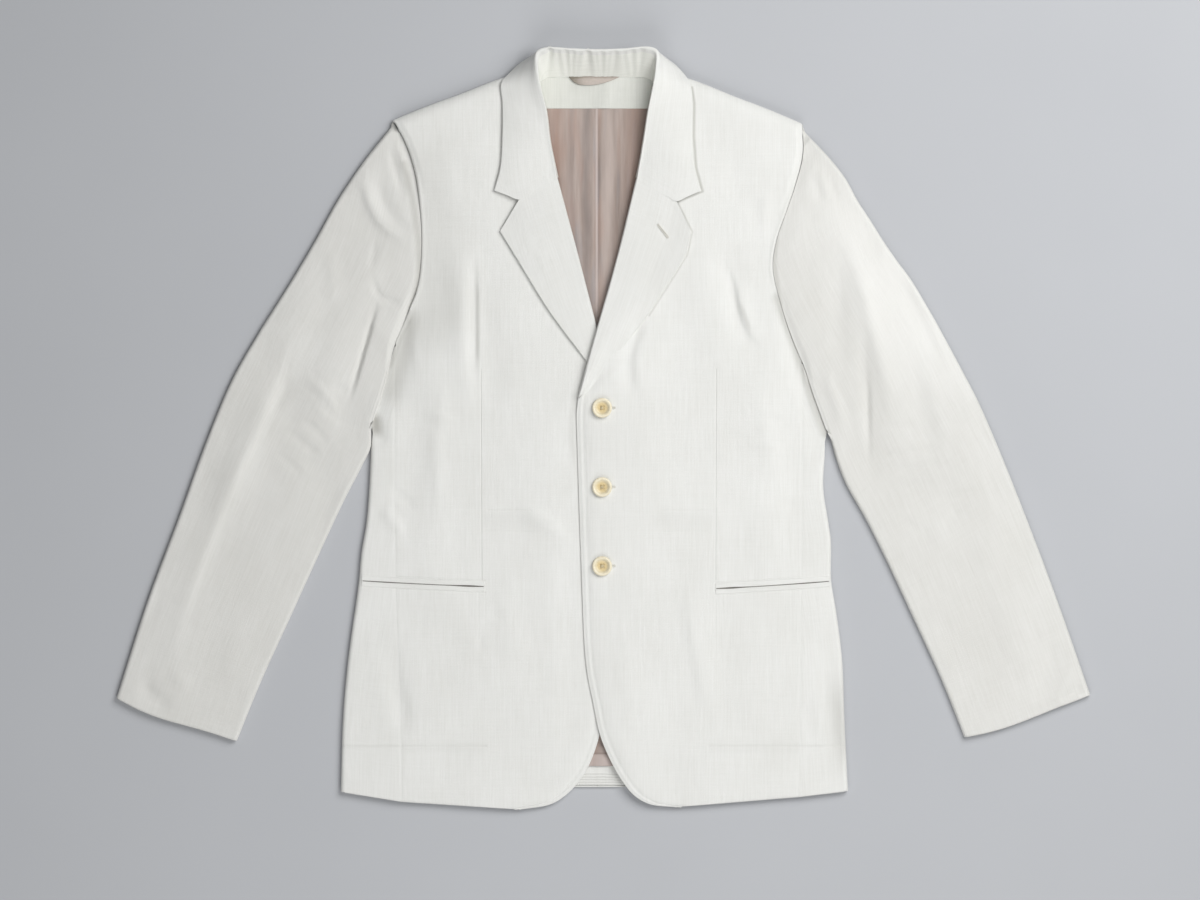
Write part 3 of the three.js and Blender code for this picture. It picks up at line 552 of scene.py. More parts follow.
LEFT_PATTERN = Pattern(
    side=Side.LEFT,
    seam=((200.3, -380.1), (202.4, -280), (203.4, -167), (204.5, -53.6), (204.5, -4)),
    seam_high=((204.5, -4), (204.7, 35), (204, 66)),
    fold=((251.8, -374), (248.2, -301), (245.8, -239), (239.7, -189.5), (234.5, -157), (234.2, -116),
          (231.2, -95), (226.3, -60), (230.6, -4)),
    underarm=((231.3, -4), (218.9, 29.9), (205.5, 65.9)),
    armhole=((205.5, 65.9), (194.2, 92.7), (183.9, 123.6), (174.5, 165), (178.7, 194.7), (188, 221.5),
             (197.2, 248.2), (205.5, 282), (204.5, 313.1)),
    edge=((74.7, -390.4), (47.9, -387.3), (31.4, -378), (16, -358.4), (4.6, -336.8), (-3.6, -316.2),
          (-11, -282), (-18, -244), (-23.2, -136), (-27.6, -4)),
    edge_high=((-27.6, -4), (-27.6, 19), (-24.2, 41), (-12, 85)),
    neck=((-12, 85), (12.9, 173), (33.5, 257), (40, 294), (46, 332), (56.6, 363)),
    roll=((-26.7, 32), (-6.7, 103), (12.9, 173), (33.5, 256.6)),
    lapel_edge=((-17, 36), (17, 78.3), (45.8, 116.4), (62.3, 142.1), (85, 178.2), (90.1, 201.9)),
    notch=(74.7, 233.8),
    outer_fold=((210.3, 301.5), (234.3, 276), (250, 255.4), (261.1, 234.8), (274.5, 214.2), (287.4, 193.6),
                (301.5, 173), (316.7, 152.4), (342, 110)),
    outer_fold_low=((501.3, -275), (467.1, -177.2), (436.2, -94.8), (403.2, -12.4), (385, 28.8), (371.5, 55),
                    (342, 110)),
    cuff_lean=-1.2,
    inner_fold=((371.6, -318.6), (348, -259.6), (319.8, -197.8), (291, -136), (270.4, -94.8), (247.7, -53.6),
                (234, -14), (231.4, -5)),
    forms=(
        Form((130, 158), (151, 95), 18, -1.6),
        Form((105, 165), (118, 95), 20, 1.6),
        Form((60, -40), (75, -240), 30, 1.2),
        Form((165, 60), (172, -120), 24, 1.4),
        Form((192, 60), (196, -90), 18, -1.2),
    ),
    sleeve_forms=(
        Form((262, 154), (295, 23), 20, 2.0),
        Form((271, 62), (273, -39), 18, -1.6),
        Form((215, 250), (240, 205), 16, 1.2),
        Form((285, -40), (355, -78), 20, -1.4),
        Form((345, 60), (420, -190), 22, 1.8),
    ),
    creases=(
        crease(((182, 160), (194, 94), (214, 10), (224, -48)), -2.8, 6, 10),
        crease(((138, 158), (142, 124), (150, 102), (168, 84)), 2.6, 11, 4),
        crease(((118, 180), (131, 150), (140, 112), (154, 92)), -1.5, 4, 8),
        crease(((52, 132), (40, 112), (30, 88), (26, 62), (30, 40), (42, 22)), -3.2, 6, 11),
        crease(((28, 68), (8, 62), (-8, 50), (-17, 30)), -1.6, 4, 6),
        crease(((66, 112), (52, 60)), 0.9, 12),
        crease(((86, -150), (94, -220), (110, -300)), 1.8, 16, 8),
        crease(((120, -190), (130, -330)), -0.7, 14),
        crease(((160, 40), (176, -60)), 0.9, 9),
        crease(((150, 12), (196, 4)), -0.7, 5),
        crease(((146, -14), (190, -25)), 0.6, 6),
        crease(((158, -70), (205, -84)), -0.6, 7),
        crease(((231, -245), (243, -363)), -1.3, 9, 7),
        crease(((216, -240), (226, -350)), 0.7, 9),
        crease(((20, -190), (26, -300)), 0.7, 12),
        crease(((84, 330), (104, 230)), 0.6, 14),
        crease(((132, 300), (140, 220)), -0.7, 12),
        crease(((168, 250), (164, 190)), 0.9, 6),
    ),
    sleeve_creases=(
        crease(((268, 96), (270, 40), (272, -20)), -1.2, 4, 6),
        crease(((300, 160), (330, 104), (352, 52)), -1.3, 6, 9),
        crease(((246, 196), (262, 158), (279, 92), (291, 44), (298, 4)), 2.2, 8, 8),
        crease(((243, 190), (243, 110), (248, 36)), -1.4, 9, 11),
        crease(((271.5, 66), (272.4, 10), (273.1, -46)), -1.6, 2.6, 3.2),
        crease(((284.9, -33.7), (320, -25), (354, -21)), -1.3, 3.2, 3.8),
        crease(((288, -25), (335, -12)), 0.7, 3.4),
        crease(((292.8, -46.3), (330, -42), (364, -36)), -1.2, 3.2, 3.8),
        crease(((300, -56), (352, -46)), 0.7, 3.6),
        crease(((336.1, -75.5), (395.3, -63.6)), -1.0, 4),
        crease(((284.9, -0.6), (324.3, 3.4)), -1.0, 3.8),
        crease(((344, -103.1), (373, -82)), -0.9, 4),
        crease(((300, -94), (342, -112)), -0.6, 5),
        crease(((212.4, 267), (225.8, 228)), -0.9, 5, 6),
        crease(((221, 270), (233, 232)), 0.4, 4),
        crease(((232.9, 260), (239.8, 232)), -0.7, 4),
        crease(((225.8, 62.5), (249.4, -0.6)), 1.3, 6),
        crease(((235, 66), (262, -14)), -0.9, 6),
        crease(((328.3, 78.2), (355.8, -32.1)), 1.3, 9),
        crease(((300.7, 204.4), (336.1, 109.8)), -0.9, 8),
        crease(((281, 226), (292, 160)), 0.7, 6),
        crease(((499, -262), (484, -272), (466, -283)), -1.8, 5, 4),
        crease(((473, -215), (440, -284)), -1.9, 13, 11),
        crease(((487, -236), (462, -292)), 1.3, 8),
        crease(((400, -170), (438, -262)), 0.7, 12),
        crease(((340, -180), (376, -270)), -0.6, 12),
    ),
    dart=((115.9, 60), (115.2, -156)),
    pocket=((115, -165.4), (233, -157.8)),
    shades=(
        Shade(((180, 134), (186, 116), (197, 88), (210, 50), (222, 14), (229, -5)), 10, 0.44),
        Shade(((140, 132), (152, 96)), 4, 0.24, 14),
        Shade(((240, -225), (250, -378)), 26, 0.26, 70),
        Shade(((91, 350), (93.4, 334), (92.8, 300), (95.3, 268), (101.8, 243.6)), 2.6, 0.5),
        Shade(((101.8, 243.2), (76, 232.6)), 2.2, 0.5),
        Shade(((76, 232.6), (91.4, 202)), 1.8, 0.3),
        Shade(((91.4, 202), (86.4, 178), (63.6, 141.4), (47, 115.6)), 1.8, 0.3),
        Shade(((-27.6, 20), (-28.4, -4), (-24.6, -136), (-19.5, -244), (-12.4, -282), (-4.8, -317),
               (3.5, -338)), 2.4, -0.8),
    ),
    sleeve_shades=(
        Shade(((203.5, 276), (192.5, 245), (178.5, 199), (175.5, 172), (181.5, 128)), 4.5, 0.32),
        Shade(((215, 285), (285, 160), (365, 10)), 75, -0.42, 100),
    ),
)
PATTERNS = (RIGHT_PATTERN, LEFT_PATTERN)


# Shader maths


def maths(operation: str, swapped: bool = False) -> "Callable[..., Wire]":
    """A method of a wire that adds a Math node, on the wire and a number or another wire.

    Args:
        operation: The node's operation.
        swapped: Whether the other value comes first.

    Returns:
        The method.
    """

    def method(self: "Wire", other: object = 0.0) -> "Wire":
        """The node's result."""
        first, second = (other, self) if swapped else (self, other)
        return self.shader.node("ShaderNodeMath", {0: first, 1: second}, operation=operation)[0]

    return method


class Wire:
    """A socket of a material, on which plain maths adds the material's own nodes."""

    __add__ = __radd__ = maths("ADD")
    __sub__ = maths("SUBTRACT")
    __rsub__ = maths("SUBTRACT", swapped=True)
    __mul__ = __rmul__ = maths("MULTIPLY")
    __truediv__ = maths("DIVIDE")
    __pow__ = maths("POWER")
    sine = maths("SINE")  # from radians
    absolute = maths("ABSOLUTE")
    least = maths("MINIMUM")
    most = maths("MAXIMUM")

    def __init__(self, shader: "Shader", socket: bpy.types.NodeSocket) -> None:
        """Keeps the socket and its material."""
        self.shader = shader
        self.socket = socket

    def between(self, low: float, high: float) -> "Wire":
        """It, held between two numbers."""
        return self.most(low).least(high)

    def step(self, start: float, end: float) -> "Wire":
        """Smooth step from 0 at start to 1 at end."""
        t = ((self - start) / (end - start)).between(0.0, 1.0)
        return t * t * (3.0 - t * 2.0)

    def centred(self) -> "Wire":
        """Noise drawn to lie about 0 instead of 0.5."""
        return self - 0.5


class Shader:
    """A material under construction."""

    def __init__(self, name: str) -> None:
        """Makes an empty material with an output."""
        self.material = bpy.data.materials.new(name)
        self.material.use_nodes = True
        self.tree = self.material.node_tree
        self.tree.nodes.clear()

    def node(self, kind: str, values: Mapping[int | str, object] | None = None,
             **settings: object) -> list[Wire]:
        """Adds a node.

        Args:
            kind: The node's type.
            values: Numbers, colours or wires of its input sockets, by number or by name.
            settings: The node's own settings, set before its sockets. stops are a ramp's places
                and colours.

        Returns:
            Its output sockets that are enabled.
        """
        made = self.tree.nodes.new(kind)
        for name, value in settings.items():
            if name == "stops":
                self._set_stops(made.color_ramp, value)
            else:
                setattr(made, name, value)
        for key, value in (values or {}).items():
            socket = made.inputs[key]
            if isinstance(value, Wire):
                self.tree.links.new(value.socket, socket)
            else:
                socket.default_value = value
        return [Wire(self, socket) for socket in made.outputs if socket.enabled]

    @staticmethod
    def _set_stops(color_ramp: bpy.types.ColorRamp, stops: Sequence[tuple[float, Sequence[float]]]) -> None:
        """Gives a ramp its places and colours."""
        while len(color_ramp.elements) < len(stops):
            color_ramp.elements.new(1.0)
        for element, (place, colour) in zip(color_ramp.elements, stops):
            element.position = place
            element.color = (*colour, 1.0)

    def noise(self, x: object, y: object, seed: float, detail: float = 2.0, rough: float = 0.5) -> Wire:
        """Noise about 0.5 at places that are already scaled, one unit to a grain."""
        place = self.node("ShaderNodeCombineXYZ", {0: x, 1: y, 2: seed})[0]
        sockets = {"Vector": place, "Scale": 1.0, "Detail": detail, "Roughness": rough}
        return self.node("ShaderNodeTexNoise", sockets)[0]

    def blend(self, share: Wire, first: Colour | Wire, second: Colour | Wire) -> Wire:
        """A colour that is a share of the way from the first to the second."""
        colours = [value if isinstance(value, Wire) else (*value, 1.0) for value in (first, second)]
        return self.node("ShaderNodeMix", {0: share, 6: colours[0], 7: colours[1]}, data_type="RGBA")[0]

    def _in_millimetres(self, place: Wire, parts: int = 3) -> list[Wire]:
        """The first parts of a place that is in metres."""
        return [part * PER_METRE for part in self.node("ShaderNodeSeparateXYZ", {0: place})[:parts]]

    def weave_place(self) -> list[Wire]:
        """Places across and along the cloth, in millimetres, from its own map."""
        return self._in_millimetres(self.node("ShaderNodeUVMap", uv_map=WEAVE_MAP)[0], 2)

    def part_place(self) -> list[Wire]:
        """Places in the part's frame, in millimetres."""
        places = self.node("ShaderNodeTexCoord")
        return self._in_millimetres(next(wire for wire in places if wire.socket.name == "Object"))

    def near(self, x: Wire, y: Wire, start: Point, end: Point) -> tuple[Wire, Wire]:
        """Distance to a straight line between two points, and how far along it the nearest point is."""
        (ax, ay), (bx, by) = start, end
        long = math.hypot(bx - ax, by - ay)
        dx, dy = (bx - ax) / long, (by - ay) / long
        px, py = x - ax, y - ay
        along = (px * dx + py * dy).between(0.0, long)
        across_x, across_y = px - along * dx, py - along * dy
        return (across_x * across_x + across_y * across_y) ** 0.5, along

    def surface(self, height: Wire | None, distance: float, **values: object) -> bpy.types.Material:
        """Ends the material with a Principled shader, bumped by a height.

        Args:
            height: The bump's height, or None.
            distance: Metres to one unit of height.
            values: Values of the shader's sockets, with underscores for spaces.

        Returns:
            The material.
        """
        sockets: dict[int | str, object] = {name.replace("_", " "): value for name, value in values.items()}
        if height is not None:
            bump = {"Height": height, "Distance": distance, "Strength": 1.0}
            sockets["Normal"] = self.node("ShaderNodeBump", bump)[0]
        made = self.node("ShaderNodeBsdfPrincipled", sockets)[0]
        self.node("ShaderNodeOutputMaterial", {"Surface": made})
        return self.material


# Finishes


@dataclass(frozen=True)
class Grain:
    """Noise in a finish: the size of its grains, where its pattern starts, and what it does there."""

    across: float
    along: float
    start: float
    detail: float = 3.0
    rough: float = 0.5
    tone: float = 0.0  # its share of the light and dark
    high: float = 0.0  # its height as a bump, in millimetres

    def wire(self, shader: Shader, across: Wire, along: Wire, seed: float = 0.0) -> Wire:
        """The noise at places across and along the piece."""
        x, y = across / self.across, along / self.along
        return shader.noise(x, y, self.start + seed, self.detail, self.rough)


@dataclass(frozen=True)
class Stitch:
    """A line in the cloth: a sewn seam, a dart, or the print or the shade of what lies under or on it.

    shade moves its tone towards the cloth's dark one, and dark is the share of the cloth's colour
    that it loses to the colour of deep shade, or, where negative, to that of a lit edge. comes and
    goes are the lengths over which it sets in at its start and dies away at its end.
    """

    start: Point
    end: Point
    wide: float
    deep: float = 0.0
    shade: float = 0.0
    dark: float = 0.0
    comes: float = 0.0
    goes: float = 0.0


def shade_lines(shades: Sequence[Shade]) -> list[Stitch]:
    """The stitches that lay shades along their lines, one a stretch."""
    stitches = []
    for shade in shades:
        last = len(shade.line) - 2
        for index, (start, end) in enumerate(zip(shade.line[:-1], shade.line[1:])):
            fade = min(shade.fade, math.dist(start, end))
            stitches.append(Stitch(start, end, shade.wide, dark=shade.dark,
                                   comes=fade if index == 0 else 0.0, goes=fade if index == last else 0.0))
    return stitches


@dataclass(frozen=True)
class Suiting:
    """Ivory plain weave with slubs, as the outer cloth has."""

    light: Colour = (0.86, 0.86, 0.832)
    dark: Colour = (0.75, 0.747, 0.708)
    # shaded and lit: colours of painted shade and of a painted highlight, laid along lines
    shaded: Colour = (0.36, 0.35, 0.31)
    lit: Colour = (0.965, 0.96, 0.925)
    warp: Grain = Grain(1.6, 46.0, 3.1, rough=0.65, tone=1.15, high=0.16)
    weft: Grain = Grain(46.0, 1.6, 8.7, rough=0.65, tone=0.35, high=0.11)
    cloud: Grain = Grain(60.0, 75.0, 1.3, tone=0.8)
    rumple: Grain = Grain(16.0, 23.0, 5.9, rough=0.55, high=0.55)
    thread: float = 0.46
    thread_tone: float = 0.07
    thread_high: float = 0.045
    middle_tone: float = 0.38

    def material(self, name: str, stitches: Sequence[Stitch] = (), seed: float = 0.0) -> bpy.types.Material:
        """The cloth, with any lines that its piece has.

        Args:
            name: The material's name.
            stitches: Lines on the piece, in the part's frame.
            seed: Moves the slubs, so that pieces differ.

        Returns:
            The material.
        """
        shader = Shader(name)
        across, along = shader.weave_place()
        warp, weft, cloud, rumple = (grain.wire(shader, across, along, seed)
                                     for grain in (self.warp, self.weft, self.cloud, self.rumple))
        rate = 2 * math.pi / self.thread
        threads = (across * rate).sine() * (along * rate).sine()
        tone = (warp.centred() * self.warp.tone + weft.centred() * self.weft.tone
                + cloud.centred() * self.cloud.tone + threads * self.thread_tone + self.middle_tone)
        height = (threads * self.thread_high + warp * self.warp.high + weft * self.weft.high
                  + rumple * self.rumple.high)
        x, y, _ = shader.part_place()
        # Painted shade and painted highlight along the lines, each kept at its strongest share
        painted_light_shares: dict[Colour, Wire] = {}
        for stitch in stitches:
            away, run = shader.near(x, y, stitch.start, stitch.end)
            line = 1.0 - away.step(0.0, stitch.wide)
            if stitch.comes:
                line = line * run.step(0.0, stitch.comes)
            if stitch.goes:
                line = line * (math.dist(stitch.start, stitch.end) - run).step(0.0, stitch.goes)
            if stitch.deep:
                height = height - line * stitch.deep
            if stitch.shade:
                tone = tone + line * stitch.shade
            if stitch.dark:
                hue, painted_light_share = (self.shaded if stitch.dark > 0 else self.lit), line * abs(stitch.dark)
                painted_light_shares[hue] = painted_light_shares[hue].most(painted_light_share) if hue in painted_light_shares else painted_light_share
        colour = shader.blend(tone.between(0.0, 1.0), self.light, self.dark)
        for hue, painted_light_share in painted_light_shares.items():
            colour = shader.blend(painted_light_share, colour, hue)
        return shader.surface(height, MM, Base_Color=colour, Roughness=0.88, Sheen_Weight=0.12,
                              Sheen_Roughness=0.5, Specular_IOR_Level=0.25)


SUITING = Suiting()
# A darker copy of the cloth: painted shade over both sleeves
SLEEVES_IN_PAINTED_SHADE = Suiting(light=(0.79, 0.784, 0.752), dark=(0.68, 0.671, 0.630))
# A darker copy of the cloth: painted shade on the facing inside the neck
FACING_IN_PAINTED_SHADE = Suiting(light=(0.73, 0.735, 0.69), dark=(0.62, 0.625, 0.575))
# A lighter copy of the cloth: painted light on the collar stand
STAND_IN_PAINTED_LIGHT = Suiting(light=(0.88, 0.885, 0.83), dark=(0.77, 0.77, 0.71))
# Pocketing whose near-black colour is painted shade in the pocket slits
POCKET_CLOTH_IN_PAINTED_SHADE = Suiting(light=(0.20, 0.19, 0.17), dark=(0.13, 0.12, 0.11))


@dataclass(frozen=True)
class Satin:
    """Taupe lining in a fine twill with a soft sheen."""

    light: Colour = (0.46, 0.375, 0.335)
    dark: Colour = (0.28, 0.22, 0.19)
    # lit and deep: colours of painted highlight and painted shadow on the pleat and the tuck
    lit: Colour = (0.62, 0.53, 0.50)
    deep: Colour = (0.20, 0.15, 0.13)
    thread: float = 0.34
    twill_tone: float = 0.05
    twill_high: float = 0.02
    yarn: Grain = Grain(0.5, 30.0, 2.2, detail=2.0, tone=0.5, high=0.04)
    cloud: Grain = Grain(9.0, 80.0, 6.4, tone=2.0, high=0.5)
    middle_tone: float = 0.42
    # Long soft streaks of a warmer and of a cooler hue
    dyes: tuple[tuple[Colour, Grain], ...] = (
        ((0.40, 0.27, 0.22), Grain(11.0, 110.0, 11.2, detail=2.0)),
        ((0.31, 0.29, 0.295), Grain(11.0, 110.0, 17.9, detail=2.0)),
    )
    dye_share: float = 0.5
    pleat: float = -6.9  # where the ridge of the centre pleat lies
    pleat_edge: Point = (0.3, 1.7)  # from its middle to where its light ends
    pleat_fades: Point = (-300.0, -200.0)
    pleat_lit: float = 0.55
    tuck: float = -335.0  # height of the fold of the lining over the hem
    tuck_edge: float = 2.0
    tuck_deep: float = 1.6  # half the width of its dark line
    tuck_share: float = 0.45
    # The folds' colours below are painted shade and light, which wander to the sides
    wander_wide: float = 12.0  # how far the folds' colours stray to the sides
    wander_long: float = 60.0
    # Painted shade and light of the folds: hue, place across, half width and share
    streaks: tuple[tuple[Colour, float, float, float], ...] = (
        ((0.20, 0.175, 0.17), -17.0, 7.0, 0.42),
        ((0.33, 0.21, 0.165), -50.0, 16.0, 0.5),
        ((0.28, 0.22, 0.20), -33.0, 6.0, 0.4),
        ((0.52, 0.44, 0.40), 5.0, 12.0, 0.32),
        ((0.31, 0.20, 0.155), 33.0, 18.0, 0.6),
    )

    def material(self, name: str) -> bpy.types.Material:
        """The lining."""
        shader = Shader(name)
        across, along = shader.weave_place()
        twill = ((across + along) * (2 * math.pi / self.thread)).sine()
        yarn, cloud = self.yarn.wire(shader, across, along), self.cloud.wire(shader, across, along)
        tone = (yarn.centred() * self.yarn.tone + cloud.centred() * self.cloud.tone + twill * self.twill_tone
                + self.middle_tone)
        colour = shader.blend(tone.between(0.0, 1.0), self.light, self.dark)
        for hue, dye in self.dyes:
            streak = dye.wire(shader, across, along)
            colour = shader.blend(streak.step(0.52, 0.70) * self.dye_share, colour, hue)
        x, y, _ = shader.part_place()
        wander = x + shader.noise(y / self.wander_long, 3.1, 5.5, 2.0).centred() * self.wander_wide
        # Painted shade and light along the folds
        for hue, at, wide, share in self.streaks:
            streak = 1.0 - (wander - at).absolute().step(0.0, wide)
            colour = shader.blend(streak * share, colour, hue)
        # Painted highlight along the pleat's ridge; below the tuck a painted highlight, and along its crease
        # a painted shadow
        ridge = (1.0 - (x - self.pleat).absolute().step(*self.pleat_edge)) * y.step(*self.pleat_fades)
        colour = shader.blend(ridge * self.pleat_lit, colour, self.lit)
        tucked = 1.0 - y.step(self.tuck - self.tuck_edge, self.tuck)
        colour = shader.blend(tucked * self.tuck_share, colour, self.lit)
        painted_tuck_shadow = 1.0 - (y - self.tuck).absolute().step(0.0, self.tuck_deep)
        colour = shader.blend(painted_tuck_shadow * self.tuck_share, colour, self.deep)
        height = twill * self.twill_high + yarn * self.yarn.high + cloud * self.cloud.high
        return shader.surface(height, MM, Base_Color=colour, Roughness=0.46, Sheen_Weight=0.2,
                              Sheen_Roughness=0.4, Specular_IOR_Level=0.4)


@dataclass(frozen=True)
class Tape:
    """Beige tape of the hanger loop, in shade at its left end and under the stand."""

    light: Colour = (0.52, 0.455, 0.41)
    dark: Colour = (0.20, 0.175, 0.14)
    rib: float = 0.5
    rib_high: float = 0.03
    cloud: Grain = Grain(3.0, 1.5, 2.7, tone=0.5, high=0.2)
    end_shade: Point = (-42.0, -14.0)  # x from where it is darkest to where it ends
    end_tone: float = 1.15
    seam_shade: Point = (358.6, 361.8)  # y from where it begins to where it is darkest
    seam_tone: float = 0.55
    middle_tone: float = 0.06

    def material(self, name: str) -> bpy.types.Material:
        """The tape's material."""
        shader = Shader(name)
        x, y, _ = shader.part_place()
        rib = (x * (2 * math.pi / self.rib)).sine()
        cloud = self.cloud.wire(shader, x, y)
        at_end, at_seam = 1.0 - x.step(*self.end_shade), y.step(*self.seam_shade)
        tone = (at_end * self.end_tone + at_seam * self.seam_tone + cloud.centred() * self.cloud.tone
                + self.middle_tone)
        colour = shader.blend(tone.between(0.0, 1.0), self.light, self.dark)
        height = rib * self.rib_high + cloud * self.cloud.high
        return shader.surface(height, MM, Base_Color=colour, Roughness=0.7)


@dataclass(frozen=True)
class Resin:
    """Cream resin of the buttons: pale on the rim, golden in the dish, with faint clouds."""

    rim: Colour = (0.88, 0.81, 0.62)
    dish: Colour = (0.72, 0.58, 0.32)
    dark: Colour = (0.50, 0.38, 0.19)
    dish_ends: Point = (4.2, 7.4)  # from the middle, where the dish's colour turns into the rim's
    holes_end: Point = (1.0, 3.6)  # likewise for the darker middle, where the holes are
    holes_tone: float = 0.3
    cloud: Grain = Grain(3.2, 2.4, 4.0, detail=4.0, rough=0.6, tone=1.1, high=0.05)
    middle_tone: float = 0.12

    def material(self, name: str, middle: Point) -> bpy.types.Material:
        """The material of the button whose middle is given."""
        shader = Shader(name)
        x, y, _ = shader.part_place()
        dx, dy = x - middle[0], y - middle[1]
        away = (dx * dx + dy * dy) ** 0.5
        cloud = self.cloud.wire(shader, x, y)
        colour = shader.blend(away.step(*self.dish_ends), self.dish, self.rim)
        at_holes = 1.0 - away.step(*self.holes_end)
        tone = cloud.centred() * self.cloud.tone + self.middle_tone + at_holes * self.holes_tone
        colour = shader.blend(tone.between(0.0, 1.0), colour, self.dark)
        return shader.surface(cloud * self.cloud.high, MM, Base_Color=colour, Roughness=0.36,
                              Coat_Weight=0.25, Coat_Roughness=0.2)


@dataclass(frozen=True)
class Thread:
    """Sewing thread, twisted, in one colour."""

    colour: Colour = (0.78, 0.75, 0.66)
    twist: float = 0.55
    twist_high: float = 0.05
    slant: float = 1.3  # how much faster the twist turns along y
    darker: float = 0.72

    def material(self, name: str) -> bpy.types.Material:
        """The thread's material."""
        shader = Shader(name)
        x, y, z = shader.part_place()
        twist = ((x + y * self.slant + z) * (2 * math.pi / self.twist)).sine()
        shade = tuple(self.darker * part for part in self.colour)
        colour = shader.blend(twist * 0.25 + 0.25, self.colour, shade)
        return shader.surface(twist * self.twist_high, MM, Base_Color=colour, Roughness=0.7)


# Meshes


@dataclass(frozen=True)
class Rims:
    """How rounded a wall's edges are, from 0, cut square, to 1: a number, or one for each point."""

    first_row: float | Array = 1.0
    last_row: float | Array = 1.0
    first_column: float | Array = 1.0
    last_column: float | Array = 1.0

    def edges(self, rows: int, columns: int) -> tuple[tuple[int, int, Array], ...]:
        """Each edge's axis, its place on that axis, and how rounded its points are."""
        amounts = (self.first_row, self.last_row, self.first_column, self.last_column)
        ends = ((0, 0, columns), (0, -1, columns), (1, 0, rows), (1, -1, rows))

        def along(amount: float | Array, axis: int, long: int) -> Array:
            """The amount at each point of an edge, shaped to go with the grid."""
            return np.expand_dims(np.broadcast_to(np.asarray(amount, float), (long,)), (axis, 2))

        return tuple((axis, place, along(amount, axis, long))
                     for amount, (axis, place, long) in zip(amounts, ends))


